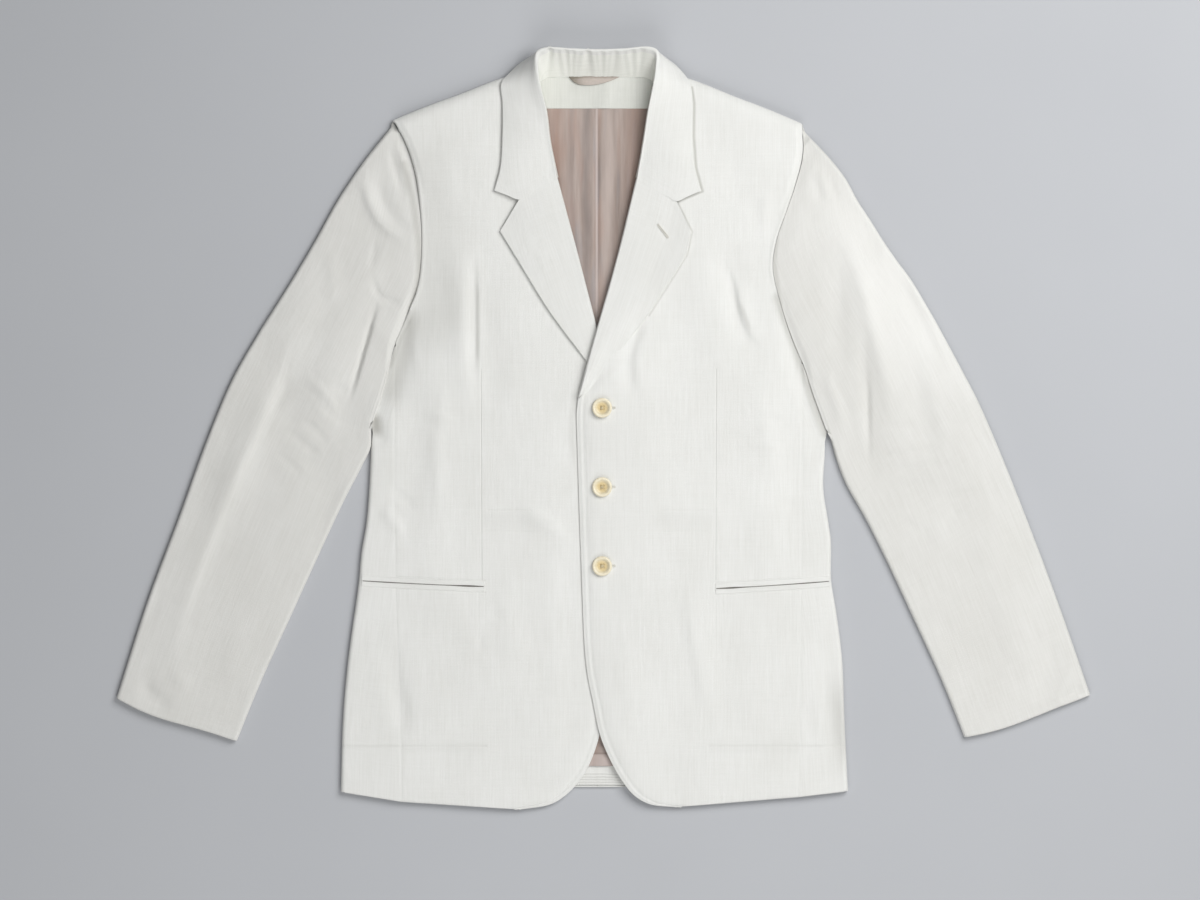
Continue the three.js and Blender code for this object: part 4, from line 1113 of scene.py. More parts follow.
@dataclass
class Wall:
    """A closed wall of cloth on a grid of points of its outer face, in millimetres.

    upright marks points whose thickness runs straight down. turn is the number of points round an
    edge, and pull the distance over which a rounded edge is drawn in.
    """

    outer: Array
    thick: Array | float
    rims: Rims = field(default_factory=Rims)
    upright: Array | None = None
    turn: int = 3
    pull: float = 9.0
    flip: float = field(init=False, default=1.0)  # -1 where the grid's own normals point into the cloth

    def normals(self, grid: Array) -> Array:
        """Unit normals out of the cloth: the cross product of the steps along and across the grid."""
        across, along = np.gradient(grid, axis=1), np.gradient(grid, axis=0)
        cross = np.cross(across, along)
        weak = np.linalg.norm(cross, axis=-1) < 1e-9
        cross[weak] = (0, 0, 1e-6)
        self.flip = 1.0 if float((cross[..., 2] * grid[..., 2]).sum()) >= 0 else -1.0
        return unit(cross) * self.flip

    def _pulled_in(self) -> Array:
        """The grid with its rounded edges drawn in by half the cloth, so that the outline stays."""
        grid = self.outer.copy()
        half = np.broadcast_to(np.asarray(self.thick, float), grid.shape[:2])[..., None] / 2
        for axis, index, amount in self.rims.edges(*grid.shape[:2]):
            steps = np.linalg.norm(np.diff(self.outer, axis=axis), axis=-1)
            run = np.concatenate([np.zeros_like(np.take(steps, [0], axis)), np.cumsum(steps, axis)], axis)
            away = run if index == 0 else np.take(run, [-1], axis) - run
            inward = np.take(self.outer, [1 if index == 0 else -2], axis)
            outward = unit(np.take(self.outer, [index], axis) - inward)
            reach = np.minimum(self.pull, np.take(run, [-1], axis) / 2 + 1e-6)
            grid -= outward * half * amount * (np.clip(1 - away / reach, 0, 1) ** 2)[..., None]
        return grid

    def build(self, weave: Array | None = None) -> tuple[Array, Array, Array]:
        """Works out the closed wall.

        The inner face is the outer one moved in along its normals. Between them, round the edge, a
        half circle of points is carried along it, squashed to a straight line where it is cut square.

        Args:
            weave: Places on the weave's map for each point, in millimetres, or None for distances
                along the grid.

        Returns:
            Points in millimetres, faces of four corners, and each point's place on the map.
        """
        grid = self._pulled_in()
        normal = self.normals(grid)
        if self.upright is not None:
            normal = unit(np.where(self.upright[..., None], (0.0, 0.0, 1.0), normal))
        thick = np.broadcast_to(np.asarray(self.thick, float), grid.shape[:2])[..., None]
        inner = grid - normal * thick
        rows, columns = grid.shape[:2]
        if weave is None:
            weave = self.distances(grid)
        number = np.arange(rows * columns).reshape(rows, columns)
        loop = np.concatenate([number[0, :-1], number[:-1, -1], number[-1, :0:-1], number[:0:-1, 0]])
        outward, amount, aside = self._edge_directions(grid, normal)
        centre, half = (grid + inner) / 2, thick / 2
        angles = np.pi * np.arange(1, self.turn + 1) / (self.turn + 1)

        def ring(values: Array) -> Array:
            """Values of the points round the edge."""
            return values.reshape(rows * columns, -1)[loop]

        rims, maps = [], []
        for a in angles:
            way = math.cos(a) * ring(normal) + math.sin(a) * ring(amount) * ring(outward)
            rims.append(ring(centre) + ring(half) * way)
            maps.append(ring(weave) + ring(aside) * ring(half) * a)
        total = rows * columns
        points = np.concatenate([grid.reshape(-1, 3), inner.reshape(-1, 3), *rims])
        points[:, 2] = np.maximum(points[:, 2], 0)  # nothing sinks into the table
        places = np.concatenate([weave.reshape(-1, 2), weave.reshape(-1, 2), *maps])
        a, b, c, d = number[:-1, :-1], number[:-1, 1:], number[1:, 1:], number[1:, :-1]
        face = np.stack([a, b, c, d], -1).reshape(-1, 4)
        around = len(loop)
        layers = [loop, *(2 * total + k * around + np.arange(around) for k in range(self.turn)), loop + total]
        sides = [np.stack([np.roll(high, -1), high, low, np.roll(low, -1)], -1)
                 for high, low in zip(layers[:-1], layers[1:])]
        faces = np.concatenate([face, face[:, ::-1] + total, *sides])
        return points, faces if self.flip > 0 else faces[:, ::-1], places

    def _edge_directions(self, grid: Array, normal: Array) -> tuple[Array, Array, Array]:
        """At each edge point: the way out of the sheet, how rounded it is, and the way on its map."""
        across, along = np.gradient(grid, axis=1), np.gradient(grid, axis=0)
        outward, aside = np.zeros_like(grid), np.zeros(grid.shape[:2] + (2,))
        amount = np.zeros(grid.shape[:2] + (1,))
        for axis, place, rounded in self.rims.edges(*grid.shape[:2]):
            where = (slice(place, place + 1 or None), slice(None)) if axis == 0 else (
                slice(None), slice(place, place + 1 or None))
            sign = 1 if place else -1
            outward[where] += sign * unit((along if axis == 0 else across)[where]) * np.maximum(rounded, 1e-3)
            amount[where] = np.maximum(amount[where], rounded)
            aside[where] += (0, sign) if axis == 0 else (sign, 0)
        outward -= (outward * normal).sum(-1, keepdims=True) * normal
        return unit(outward), amount, aside

    @staticmethod
    def distances(grid: Array) -> Array:
        """Places across and along a grid, measured on it from its middle column."""
        rows, columns = grid.shape[:2]
        middle = columns // 2
        across = np.zeros((rows, columns))
        across[:, 1:] = np.cumsum(np.linalg.norm(np.diff(grid, axis=1), axis=-1), 1)
        across -= across[:, middle:middle + 1]
        run = np.concatenate([[0], np.cumsum(np.linalg.norm(np.diff(grid[:, middle], axis=0), axis=-1))])
        return np.stack([across, np.broadcast_to(run[:, None], (rows, columns))], -1)


def make_object(name: str, points: Array, faces: Array, places: Array | None = None,
                sharp: float = 55.0) -> bpy.types.Object:
    """Puts points and faces into a mesh object at the origin.

    Args:
        name: The object's name.
        points: Points in millimetres.
        faces: Corners of each face, four to a face.
        places: Each point's place on the weave's map, in millimetres.
        sharp: Angle in degrees past which an edge is sharp.

    Returns:
        The object.
    """
    mesh = bpy.data.meshes.new(name)
    mesh.vertices.add(len(points))
    mesh.vertices.foreach_set("co", (points * MM).astype(np.float32).ravel())
    mesh.loops.add(faces.size)
    mesh.loops.foreach_set("vertex_index", faces.astype(np.int32).ravel())
    mesh.polygons.add(len(faces))
    mesh.polygons.foreach_set("loop_start", np.arange(0, faces.size, faces.shape[1], dtype=np.int32))
    mesh.update(calc_edges=True)
    if places is not None:
        layer = mesh.uv_layers.new(name=WEAVE_MAP)
        layer.uv.foreach_set("vector", (places[faces.ravel()] * MM).astype(np.float32).ravel())
    mesh.validate()
    mesh.shade_smooth()
    mesh.set_sharp_from_angle(angle=math.radians(sharp))
    made = bpy.data.objects.new(name, mesh)
    bpy.context.scene.collection.objects.link(made)
    return made


def dress(piece: bpy.types.Object, material: bpy.types.Material, slot: str, *nodes: str) -> bpy.types.Object:
    """Gives a piece its material and body, and hides the model's parts of the nodes that it stands for."""
    piece.data.materials.clear()
    piece.data.materials.append(material)
    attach(piece, BODY)
    if nodes:
        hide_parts(*nodes)
    LOG.info("%s: %d faces", piece.name, len(piece.data.polygons))
    return piece


@dataclass(frozen=True)
class Cut:
    """The flat size that a piece was cut to: width and length in metres, and the share that it fills."""

    width: float
    length: float
    fills: float = 1.0


def cloth(name: str, wall: Wall, material: bpy.types.Material, *nodes: str, weave: Array | None = None,
          slot: str = "cloth") -> bpy.types.Object:
    """Makes a piece from its wall, and dresses it.

    Args:
        name: The piece's name.
        wall: Its wall.
        material: Its material.
        nodes: The nodes of the model that it stands for.
        weave: Places on the weave's map, or None for distances along the wall.
        slot: The slot of its material; not used.

    Returns:
        The piece.
    """
    return dress(make_object(name, *wall.build(weave)), material, slot, *nodes)


def row_numbers(*stretches: tuple[int, int, int]) -> Array:
    """Row numbers of stretches that follow on each other, each given as start, end and steps to a row."""
    parts = [np.linspace(start, end, (end - start) * per + 1) for start, end, per in stretches]
    return np.concatenate([parts[0], *(part[1:] for part in parts[1:])])


def straight_rows(start: Array, end: Array, shares: Array) -> Array:
    """Straight rows of points from each start to its end, at the given shares of the way."""
    return start[:, None] + (end - start)[:, None] * shares[:, None]


def grid_of(x: Array, y: Array, z: Array) -> Array:
    """A grid of points from the places across, along and up."""
    return np.stack(np.broadcast_arrays(x, y, z), -1)


def seam_dip(away: Array, deep: float = SEAM_DEEP) -> Array:
    """The dip of a seam: a bell of the distance from it."""
    return deep * bell(away / SEAM_WIDE)


def armhole_high(row: Array) -> Array:
    """Height of the body against the sleeve, at a row number of the body."""
    cap = (row - BODY_ROWS) / CAP_ROWS
    rising = mix(UNDERARM_HIGH, ARMHOLE_SEAM_HIGH, ramp(0, 0.45, cap))
    return rising + (ARMHOLE_CORNER_HIGH - ARMHOLE_SEAM_HIGH) * ramp(0.85, 1, cap)


# Sub-assemblies


@dataclass
class Fronts:
    """The two fronts, from the side seam to the front edge and up to the shoulder seam."""

    suiting: Suiting
    columns: int = 140
    steps: tuple[int, int, int] = (8, 6, 8)  # rows to one of the solid's, in each stretch
    thinner: float = 1.7  # how much thinner the front's very edge is
    thins_over: float = 10.0
    under_lapel: float = 5.0  # how far the edge goes on under the lapel
    over_sleeve: tuple[float, float] = (2.4, 0.6)  # how far each armhole's rim stands over the sleeve
    pressed_over: float = 9.0  # how far in from the armhole the rim comes down
    roll_high: float = 0.35  # height of the small rolls beside the armhole and the edge's stitching
    roll_in: Point = (2.0, 3.6)  # how far in each of the two lies
    sewn_in: float = 6.8  # how far in from the edge its stitching lies
    sewn_deep: float = 0.25

    def rows(self) -> Array:
        """Row numbers of a front, from the hem to the shoulder."""
        low, under, cap = self.steps
        return row_numbers((0, LOW_ROWS, low), (LOW_ROWS, BODY_ROWS, under), (BODY_ROWS, TOP_ROW, cap))

    def grid(self, pattern: Pattern) -> Array:
        """The front's outer face: straight rows from the side line to the edge line, at its height.

        It dips to the sleeve's height along the armhole, and into the seams.
        """
        row = self.rows()
        start, end = pattern.seam_points(row), pattern.edge_points(row)
        roll_low = pattern.roll[0][1]
        end[:, 0] += pattern.side.sign * self.under_lapel * ramp(roll_low + 2, roll_low + 16, end[:, 1])
        flat = straight_rows(start, end, crowded(self.columns))
        x, y = flat[..., 0], flat[..., 1]
        y = y + (pattern.shoulder_line(x) - y) * np.clip(row - (TOP_ROW - 1), 0, 1)[:, None]
        high = pattern.top(x, y)
        capped = self.capped(row)[:, None]
        rim = armhole_high(row)[:, None] + self.over_sleeve[pattern.side is Side.LEFT]
        low = mix(high, np.minimum(high, rim), capped)
        away = np.hypot(x - start[:, :1], y - start[:, 1:])
        z = mix(low, high, ramp(0, self.pressed_over, away)) - (1 - capped) * seam_dip(away)
        z = z + self.roll_high * capped * bell((away - self.roll_in[0]) / self.roll_in[0])
        inside = np.hypot(end[:, None, 0] - x, end[:, None, 1] - y)
        stitched = self.roll_high * bell((inside - self.roll_in[1]) / SEAM_WIDE)
        stitched = stitched - seam_dip(inside - self.sewn_in, self.sewn_deep)
        z = z + ramp(TOP_ROW, BODY_ROWS, row)[:, None] * stitched
        return grid_of(x, y, z - self.bevel(inside))

    def bevel(self, inside: Array) -> Array:
        """How far the front thins out towards its edge: a bell of the distance from it."""
        return self.thinner * bell(inside / self.thins_over)

    @staticmethod
    def capped(row: Array) -> Array:
        """1 in the rows that end at the armhole, and 0 in those that end at the side seam."""
        return ramp(BODY_ROWS, BODY_ROWS + 1, row)

    def thickness(self, pattern: Pattern, grid: Array) -> Array:
        """The cloth, canvas and facing, and the padding under the shoulder."""
        x, y = grid[..., 0], grid[..., 1]
        inside = np.maximum(pattern.below_shoulder(x, y) - 0.3, 0)
        edge = self.bevel(np.hypot(x[:, -1:] - x, y[:, -1:] - y))
        return FRONT_CLOTH + PAD_THICK * inside * ramp(PAD_FROM, PAD_TO, y) - edge

    @staticmethod
    def stitches(pattern: Pattern) -> list[Stitch]:
        """The dart, the prints of the hem and of the pockets inside, partly painted shade, and the pattern's
        painted shades.
        """

        def level(first: float, last: float, y: float, **looks: float) -> Stitch:
            """A level line between two distances from the middle of the blazer."""
            side = pattern.side.sign
            return Stitch((MID + side * first, y), (MID + side * last, y), **looks)

        welt = [pattern.pocket[0][1] - drop for drop in (12, 60)]
        aside = MID + pattern.side.sign * 122
        return [
            Stitch(*pattern.dart, wide=1.1, deep=0.35, shade=0.16),
            level(115, 212, HEM_SEWN, **HEM_LINE_AND_PAINTED_SHADE),
            # Painted shade along the hem
            level(120, 212, HEM_SEWN, wide=11.0, dark=0.045),
            # Painted shade of the pocket bag inside
            level(68, 112, -96, wide=17.0, dark=0.055),
            level(68, 112, -85, wide=2.0, deep=0.12, shade=0.04),
            level(68, 112, -107, wide=2.0, deep=0.12, shade=0.04),
            Stitch((aside, welt[0]), (aside, welt[1]), wide=1.6, deep=0.12, shade=0.03),
            *(Stitch(*((x, y + below) for x, y in pattern.pocket), wide=1.3, deep=0.3, shade=0.12)
              for below in (-6.2, 6.2)),
            *shade_lines(pattern.shades),
        ]

    def build(self) -> dict[Side, bpy.types.Object]:
        """Builds and dresses both fronts."""
        made = {}
        for pattern in PATTERNS:
            name = pattern.side.value
            grid = self.grid(pattern)
            rims = Rims(1, 0.6, 0.9 * self.capped(self.rows()), 1)
            wall = Wall(grid, self.thickness(pattern, grid), rims, pull=6.0)
            lines = self.stitches(pattern)
            suiting = self.suiting.material(f"{name}_front_suiting", lines, pattern.side.sign)
            made[pattern.side] = cloth(f"{name}_front_cloth", wall, suiting, f"front_{name}",
                                       weave=grid[..., :2])
        return made


@dataclass
class SidePanels:
    """The side panels: from the side seam over the side fold and in underneath."""

    suiting: Suiting
    flat_columns: int = 26
    fold_columns: int = 12
    strip_columns: int = 6

    def grid(self, pattern: Pattern) -> tuple[Array, Array]:
        """The panel's outer face, and which of its points are upright.

        A section runs flat to the fold, round half a circle of half the folded height, and back
        under for a strip. Above the fold's top it ends flat against the sleeve. Along it, q is 0
        at the seam, 4 where the fold sets in, 8 where it ends and 9 at the strip's end.
        """
        row = row_numbers((0, LOW_ROWS, 8), (LOW_ROWS, BODY_ROWS, 6))[:, None]
        seam, fold = pattern.seam_points(row[:, 0]), pattern.fold_points(row[:, 0])
        width = np.abs(fold[:, :1] - seam[:, :1])
        lies = ramp(-0.9, 0.1, row - LOW_ROWS)
        half = SIDE_HIGH / 2
        radius = np.minimum(half, width / 2)
        q = np.concatenate([4 * crowded(self.flat_columns, 0.4), np.linspace(4, 8, self.fold_columns + 1)[1:],
                            np.linspace(8, 9, self.strip_columns + 1)[1:]])[None]
        angle = np.pi * np.clip((q - 4) / 4, 0, 1)
        strip = np.maximum(UNDER_WIDE * ramp(LOW_ROWS, LOW_ROWS - 4, row), radius + 1)
        turned = np.where(q <= 4, (width - radius) * q / 4, width - radius + radius * np.sin(angle))
        turned = np.where(q > 8, mix(width - radius, width - strip, q - 8), turned)
        turned_high = np.where(q <= 4, 2 * radius, radius + radius * np.cos(angle))
        plain = np.where(q <= 4, (width - radius) * q / 4, width - radius * (1 - (q - 4) / 5))
        distance, high = mix(turned, plain, lies), mix(turned_high, 2 * radius, lies)
        t = distance / width
        x = seam[:, :1] + pattern.side.sign * (distance - 0.4 * lies * t)
        y = np.where(q > 4, fold[:, 1:], mix(seam[:, 1:], fold[:, 1:], np.clip(t, 0, 1)))
        top = pattern.top(x, y)
        lying = mix(top, mix(top, UNDERARM_HIGH, ramp(0, 1, t)), lies)
        z = np.where(high > half, mix(half, lying, (high - half) / half), high)
        z = mix(z, lying, lies) - np.where(q < 4, seam_dip(distance), 0)
        grid = grid_of(x, y, z)
        return grid, np.broadcast_to(row > LOW_ROWS - 0.4, grid.shape[:2])

    def build(self) -> None:
        """Builds and dresses both side panels."""
        for pattern in PATTERNS:
            name, side = pattern.side.value, pattern.side.sign
            grid, upright = self.grid(pattern)
            wall = Wall(grid, SIDE_CLOTH, Rims(1, 0, 0, 0), upright)
            hem = Stitch((MID + side * 190, HEM_SEWN), (MID + side * 270, HEM_SEWN), **HEM_LINE_AND_PAINTED_SHADE)
            lines = [hem, *shade_lines(pattern.shades)]
            suiting = self.suiting.material(f"{name}_side_suiting", lines, 4 + side)
            piece = cloth(f"{name}_side_panel_cloth", wall, suiting, f"side_panel_{name}")


@dataclass
class Back:
    """The back on the table, and the hem, lining, facing and loop that show inside."""

    suiting: Suiting
    satin: Satin
    hem: float = -368.2  # y of the back's lower edge
    hem_half: float = 182.0  # half the width of the hem that is turned up
    hem_along: Point = (-367.6, -330.0)  # y of its edges
    hem_stitching: tuple[float, ...] = (-356.6, -359.6, -362.2, -365.0)
    lining_along: tuple[float, float, float] = (-348.0, -318.0, 332.0)  # y, with finer rows over the hem
    lining_half: Point = (180.0, 62.0)  # half its width, below and at the neck
    # Where the lining steps up over the hem and over its own tuck: rise, and y where it starts and ends
    lining_steps: tuple[tuple[float, float, float], ...] = ((1.3, -324.0, -329.0), (0.9, -336.0, -338.5))
    facing_along: Point = (328.8, 361.6)  # y of its edges
    facing_half: Point = (62.0, 58.0)  # half its width, at its lower and at its upper edge
    facing_high: float = 3.5
    loop_middle: Point = (-9.5, 362.4)  # of the edge that is sewn in
    loop_half: float = 26.0
    loop_wide: Point = (1.2, 8.4)  # at its ends, and how much wider where it sags lowest
    loop_lowest: float = -0.2  # where that is, from -1 at its left end to 1
    loop_high: float = 4.9
    loop_rise: float = 1.4  # how much higher its free edge lies than the one that is sewn in
    loop_bow: float = 0.4
    # The lining's folds: the pleat, and what the pull towards it makes
    folds: tuple[Crease, ...] = (
        crease(((-47, 336), (-44, 250), (-36, 150), (-24, 10)), 1.5, 7, 4),
        crease(((-30, 336), (-29, 240), (-22, 150), (-16, 70)), 0.9, 3, 3.5),
        crease(((-22.5, 330), (-24, 210), (-17, 120)), -0.8, 3),
        crease(((-10.6, 360), (-10.4, 200), (-9.6, 60)), 1.5, 2.2, 8),
        crease(((-3.4, 360), (-3.2, 200), (-4.4, 60)), 1.1, 8, 1.5),
        crease(((10, 336), (9, 240), (4, 150)), -0.6, 3),
        crease(((18, 330), (17, 240), (10, 150)), 0.6, 2.5),
        crease(((28, 340), (24, 230), (13, 130)), 1.6, 5, 8),
        crease(((-27, 197), (-12, 190)), 0.6, 2),
        crease(((-25, 187), (-13, 184)), -0.5, 2),
    )

    def build(self) -> None:
        """Builds and dresses each layer."""
        self._back()
        self._hem()
        self._lining()
        self._facing()
        self._loop()

    def _back(self) -> None:
        """The back: straight rows from side to side, flat, with a shallow centre seam."""
        row = row_numbers((0, LOW_ROWS, 6), (LOW_ROWS, BODY_ROWS, 3), (BODY_ROWS, TOP_ROW, 6))
        strip = np.maximum(UNDER_WIDE * ramp(LOW_ROWS, LOW_ROWS - 4, row), SIDE_HIGH / 2 + 1) + GAP
        ends = []
        for pattern in PATTERNS:
            line = pattern.fold_points(row)
            line[:, 0] -= pattern.side.sign * np.where(row > LOW_ROWS, 2 * GAP, strip)
            ends.append(line)
        flat = straight_rows(*ends, np.linspace(0, 1, 101))
        x, y = flat[..., 0], flat[..., 1]
        y = mix(y, self.hem, np.clip(1 - row, 0, 1)[:, None])
        line = np.where(x < MID, RIGHT_PATTERN.shoulder_line(x), LEFT_PATTERN.shoulder_line(x))
        y = mix(y, np.minimum(line, NECK_SEAM) - GAP, np.clip(row - (TOP_ROW - 1), 0, 1)[:, None])
        wall = Wall(grid_of(x, y, BACK_CLOTH - seam_dip(x - MID, 0.35)), BACK_CLOTH - 0.02, Rims(1, 0, 0, 0))
        seam = Stitch((MID, -369), (MID, 360), wide=1.2, deep=0.5, shade=0.18)
        suiting = self.suiting.material("back_suiting", [seam], seed=9.0)
        cloth("back_cloth", wall, suiting, "back", weave=flat)

    def _hem(self) -> None:
        """The turned-up hem: a flat strip with its rows of stitching."""
        left, right = MID - self.hem_half, MID + self.hem_half
        x, y = np.meshgrid(np.linspace(left, right, 121), np.linspace(*self.hem_along, 27))
        grid = grid_of(x, y, LINING_LOW + LINING_CLOTH + waves(x, y, 5, size=60, high=0.12))
        wall = Wall(grid, LINING_CLOTH, Rims(1, 0, 0, 0))
        # Each row is dipped and toned darker, with painted shade in it besides
        lines = [Stitch((left, at), (right, at), wide=1.0, deep=0.4, shade=0.2, dark=0.14)
                 for at in self.hem_stitching]
        suiting = self.suiting.material("hem_suiting", lines, seed=12.0)
        piece = cloth("back_hem_cloth", wall, suiting, "back_hem_turn_up", weave=grid[..., :2])

    def _lining(self) -> None:
        """The lining: a centre pleat and upright folds, and below a step up over the hem."""
        low, past, top = self.lining_along
        y = np.concatenate([np.linspace(low, past, 16), np.linspace(past, top, 190)[1:]])[:, None]
        x = MID + mix(*self.lining_half, ramp(90, 300, y)) * np.linspace(-1, 1, 141)[None]
        y = np.broadcast_to(y, x.shape)
        over_hem = sum(rise * ramp(start, end, y) for rise, start, end in self.lining_steps)
        free = ramp(330, 318, y)
        z = LINING_LOW + LINING_CLOTH + over_hem
        z = z + free * (relief(self.folds, x, y) + waves(x, y * 0.3, 21, size=24, high=0.4))
        grid = grid_of(x, y, np.maximum(z, LINING_LOW + 0.6))
        wall = Wall(grid, LINING_CLOTH - 0.3, Rims(1, 0, 0, 0))
        piece = cloth("back_lining_satin", wall, self.satin.material("lining_satin"), "back_lining",
                      weave=grid[..., :2], slot="lining")

    def _facing(self) -> None:
        """The neck facing: a flat piece whose lower edge laps over the lining."""
        y = np.linspace(*self.facing_along, 25)[:, None]
        x = MID + mix(*self.facing_half, ramp(328, 361, y)) * np.linspace(-1, 1, 71)[None]
        y = np.broadcast_to(y, x.shape)
        bump, rise = 0.5 * bell((x - 2) / 5), 0.6 * ramp(345, 361, y)
        z = self.facing_high + waves(x, y, 8, size=26, high=0.45) + bump + rise
        grid = grid_of(x, y, z)
        suiting = FACING_IN_PAINTED_SHADE.material("facing_suiting", seed=15.0)
        piece = cloth("neck_facing_cloth", Wall(grid, 0.8, Rims(1, 0, 0, 0)), suiting, "back_neck_facing",
                      weave=grid[..., :2])

    def _loop(self) -> None:
        """The hanger loop: a crescent of tape that sags from the stand's seam, blunter on its left."""
        t = np.linspace(-1, 1, 61)[:, None]
        v = np.linspace(0, 1, 9)[None]
        left = np.maximum(self.loop_lowest - t, 0) / (1 + self.loop_lowest)
        right = np.maximum(t - self.loop_lowest, 0) / (1 - self.loop_lowest)
        wide = self.loop_wide[0] + self.loop_wide[1] * (1 - left**3.5 - right**1.8)
        z = self.loop_high + (self.loop_rise * v + self.loop_bow * np.sin(math.pi * v)) * (1 - t**4)
        middle_x, sewn_y = self.loop_middle
        wall = Wall(grid_of(middle_x + self.loop_half * t, sewn_y - wide * v, z), 0.9, pull=2.0)
        piece = cloth("hanger_loop_tape", wall, Tape().material("loop_tape"), "hanger_loop", slot="lining")


@dataclass
class Lapels:
    """The lapels: round the roll from the front's edge and over the front to the lapel's own edge."""

    suiting: Suiting
    roll_rows: int = 96
    roll_columns: int = 14
    flat_columns: int = 44
    roll_wide: float = 1.7
    neck_high: float = 16.0
    open_high: float = 4.0  # how far the roll stands over the front below the neck
    # Shares of the roll, from its foot up
    stands_up: Point = (0.5, 1.0)  # over which it rises to the neck's height
    lies_flat: tuple[Point, Point] = ((0.45, 0.2), (0.2, 0.0))  # over which the right and the left come down
    merges: Point = (0.5, 0.22)  # over which the left lapel's fall sinks into its front
    merges_across: Point = (0.1, 0.75)  # the same, from the roll to the edge
    fall_power: float = 1.6
    belly: float = 1.1  # how far its middle bulges at the neck

    def grid(self, pattern: Pattern) -> Array:
        """The lapel's outer face.

        A section turns half round the roll, as half an ellipse, and falls from it to the front by
        a power of the distance. Near the notch it is drawn along the gorge.
        """
        u = np.linspace(0, 1, self.roll_rows + 1)
        roll, edge = SmoothLine(pattern.roll).at(u), SmoothLine(pattern.lapel_edge).at(u)
        u = u[:, None]
        top = pattern.top(roll[:, :1], roll[:, 1:])
        is_left = pattern.side is Side.LEFT
        tucked = ramp(*self.lies_flat[is_left], u)
        opened = mix(top + self.open_high, self.neck_high, ramp(*self.stands_up, u))
        high = mix(opened, top + LAPEL_CLOTH + 2 * GAP, tucked)
        if is_left:
            high = mix(top + 0.1, high, 1 - tucked)
        way = unit(edge - roll)
        angle = np.pi * np.linspace(0, 1, self.roll_columns + 1)[None, :-1]
        aside = self.roll_wide * (1 - np.sin(angle))
        turn = grid_of(roll[:, :1] + way[:, :1] * aside, roll[:, 1:] + way[:, 1:] * aside,
                       mix(top - FRONT_CLOTH, high, (1 - np.cos(angle)) / 2))
        v = crowded(self.flat_columns, 0.5)[None]
        start = roll + way * self.roll_wide
        pull = np.where(v < NOTCH_AT, v / NOTCH_AT, (1 - v) / (1 - NOTCH_AT)) * u**6
        x, y = (mix(first, last, v) + (notch - mix(first, last, NOTCH_AT)) * pull
                for first, last, notch in zip(start.T[..., None], edge.T[..., None], pattern.notch))
        lying = pattern.top(x, y) + LAPEL_LIFT + LAPEL_CLOTH
        if is_left:
            merged = ramp(*self.merges, u) * ramp(*self.merges_across, v)
            lying = lying - (LAPEL_LIFT + LAPEL_CLOTH + 0.5) * merged
        fall = np.maximum(high - lying, 0) * (1 - v) ** self.fall_power
        z = lying + fall + self.belly * np.sin(math.pi * v) * u
        z = z + waves(x, y, 31 + pattern.side.sign, size=50, high=0.15)
        return np.concatenate([turn, grid_of(x, y, z)], 1)

    def build(self) -> None:
        """Builds and dresses both lapels."""
        for pattern in PATTERNS:
            name = pattern.side.value
            wall = Wall(self.grid(pattern), LAPEL_CLOTH, Rims(0, 0, 0, 1), pull=6.0)
            suiting = self.suiting.material(f"{name}_lapel_suiting", seed=20.0 + pattern.side.sign)
            piece = cloth(f"{name}_lapel_cloth", wall, suiting, f"lapel_{name}")


Spot = tuple[float, ...]  # x and y, and z where it doesn't rest on the front


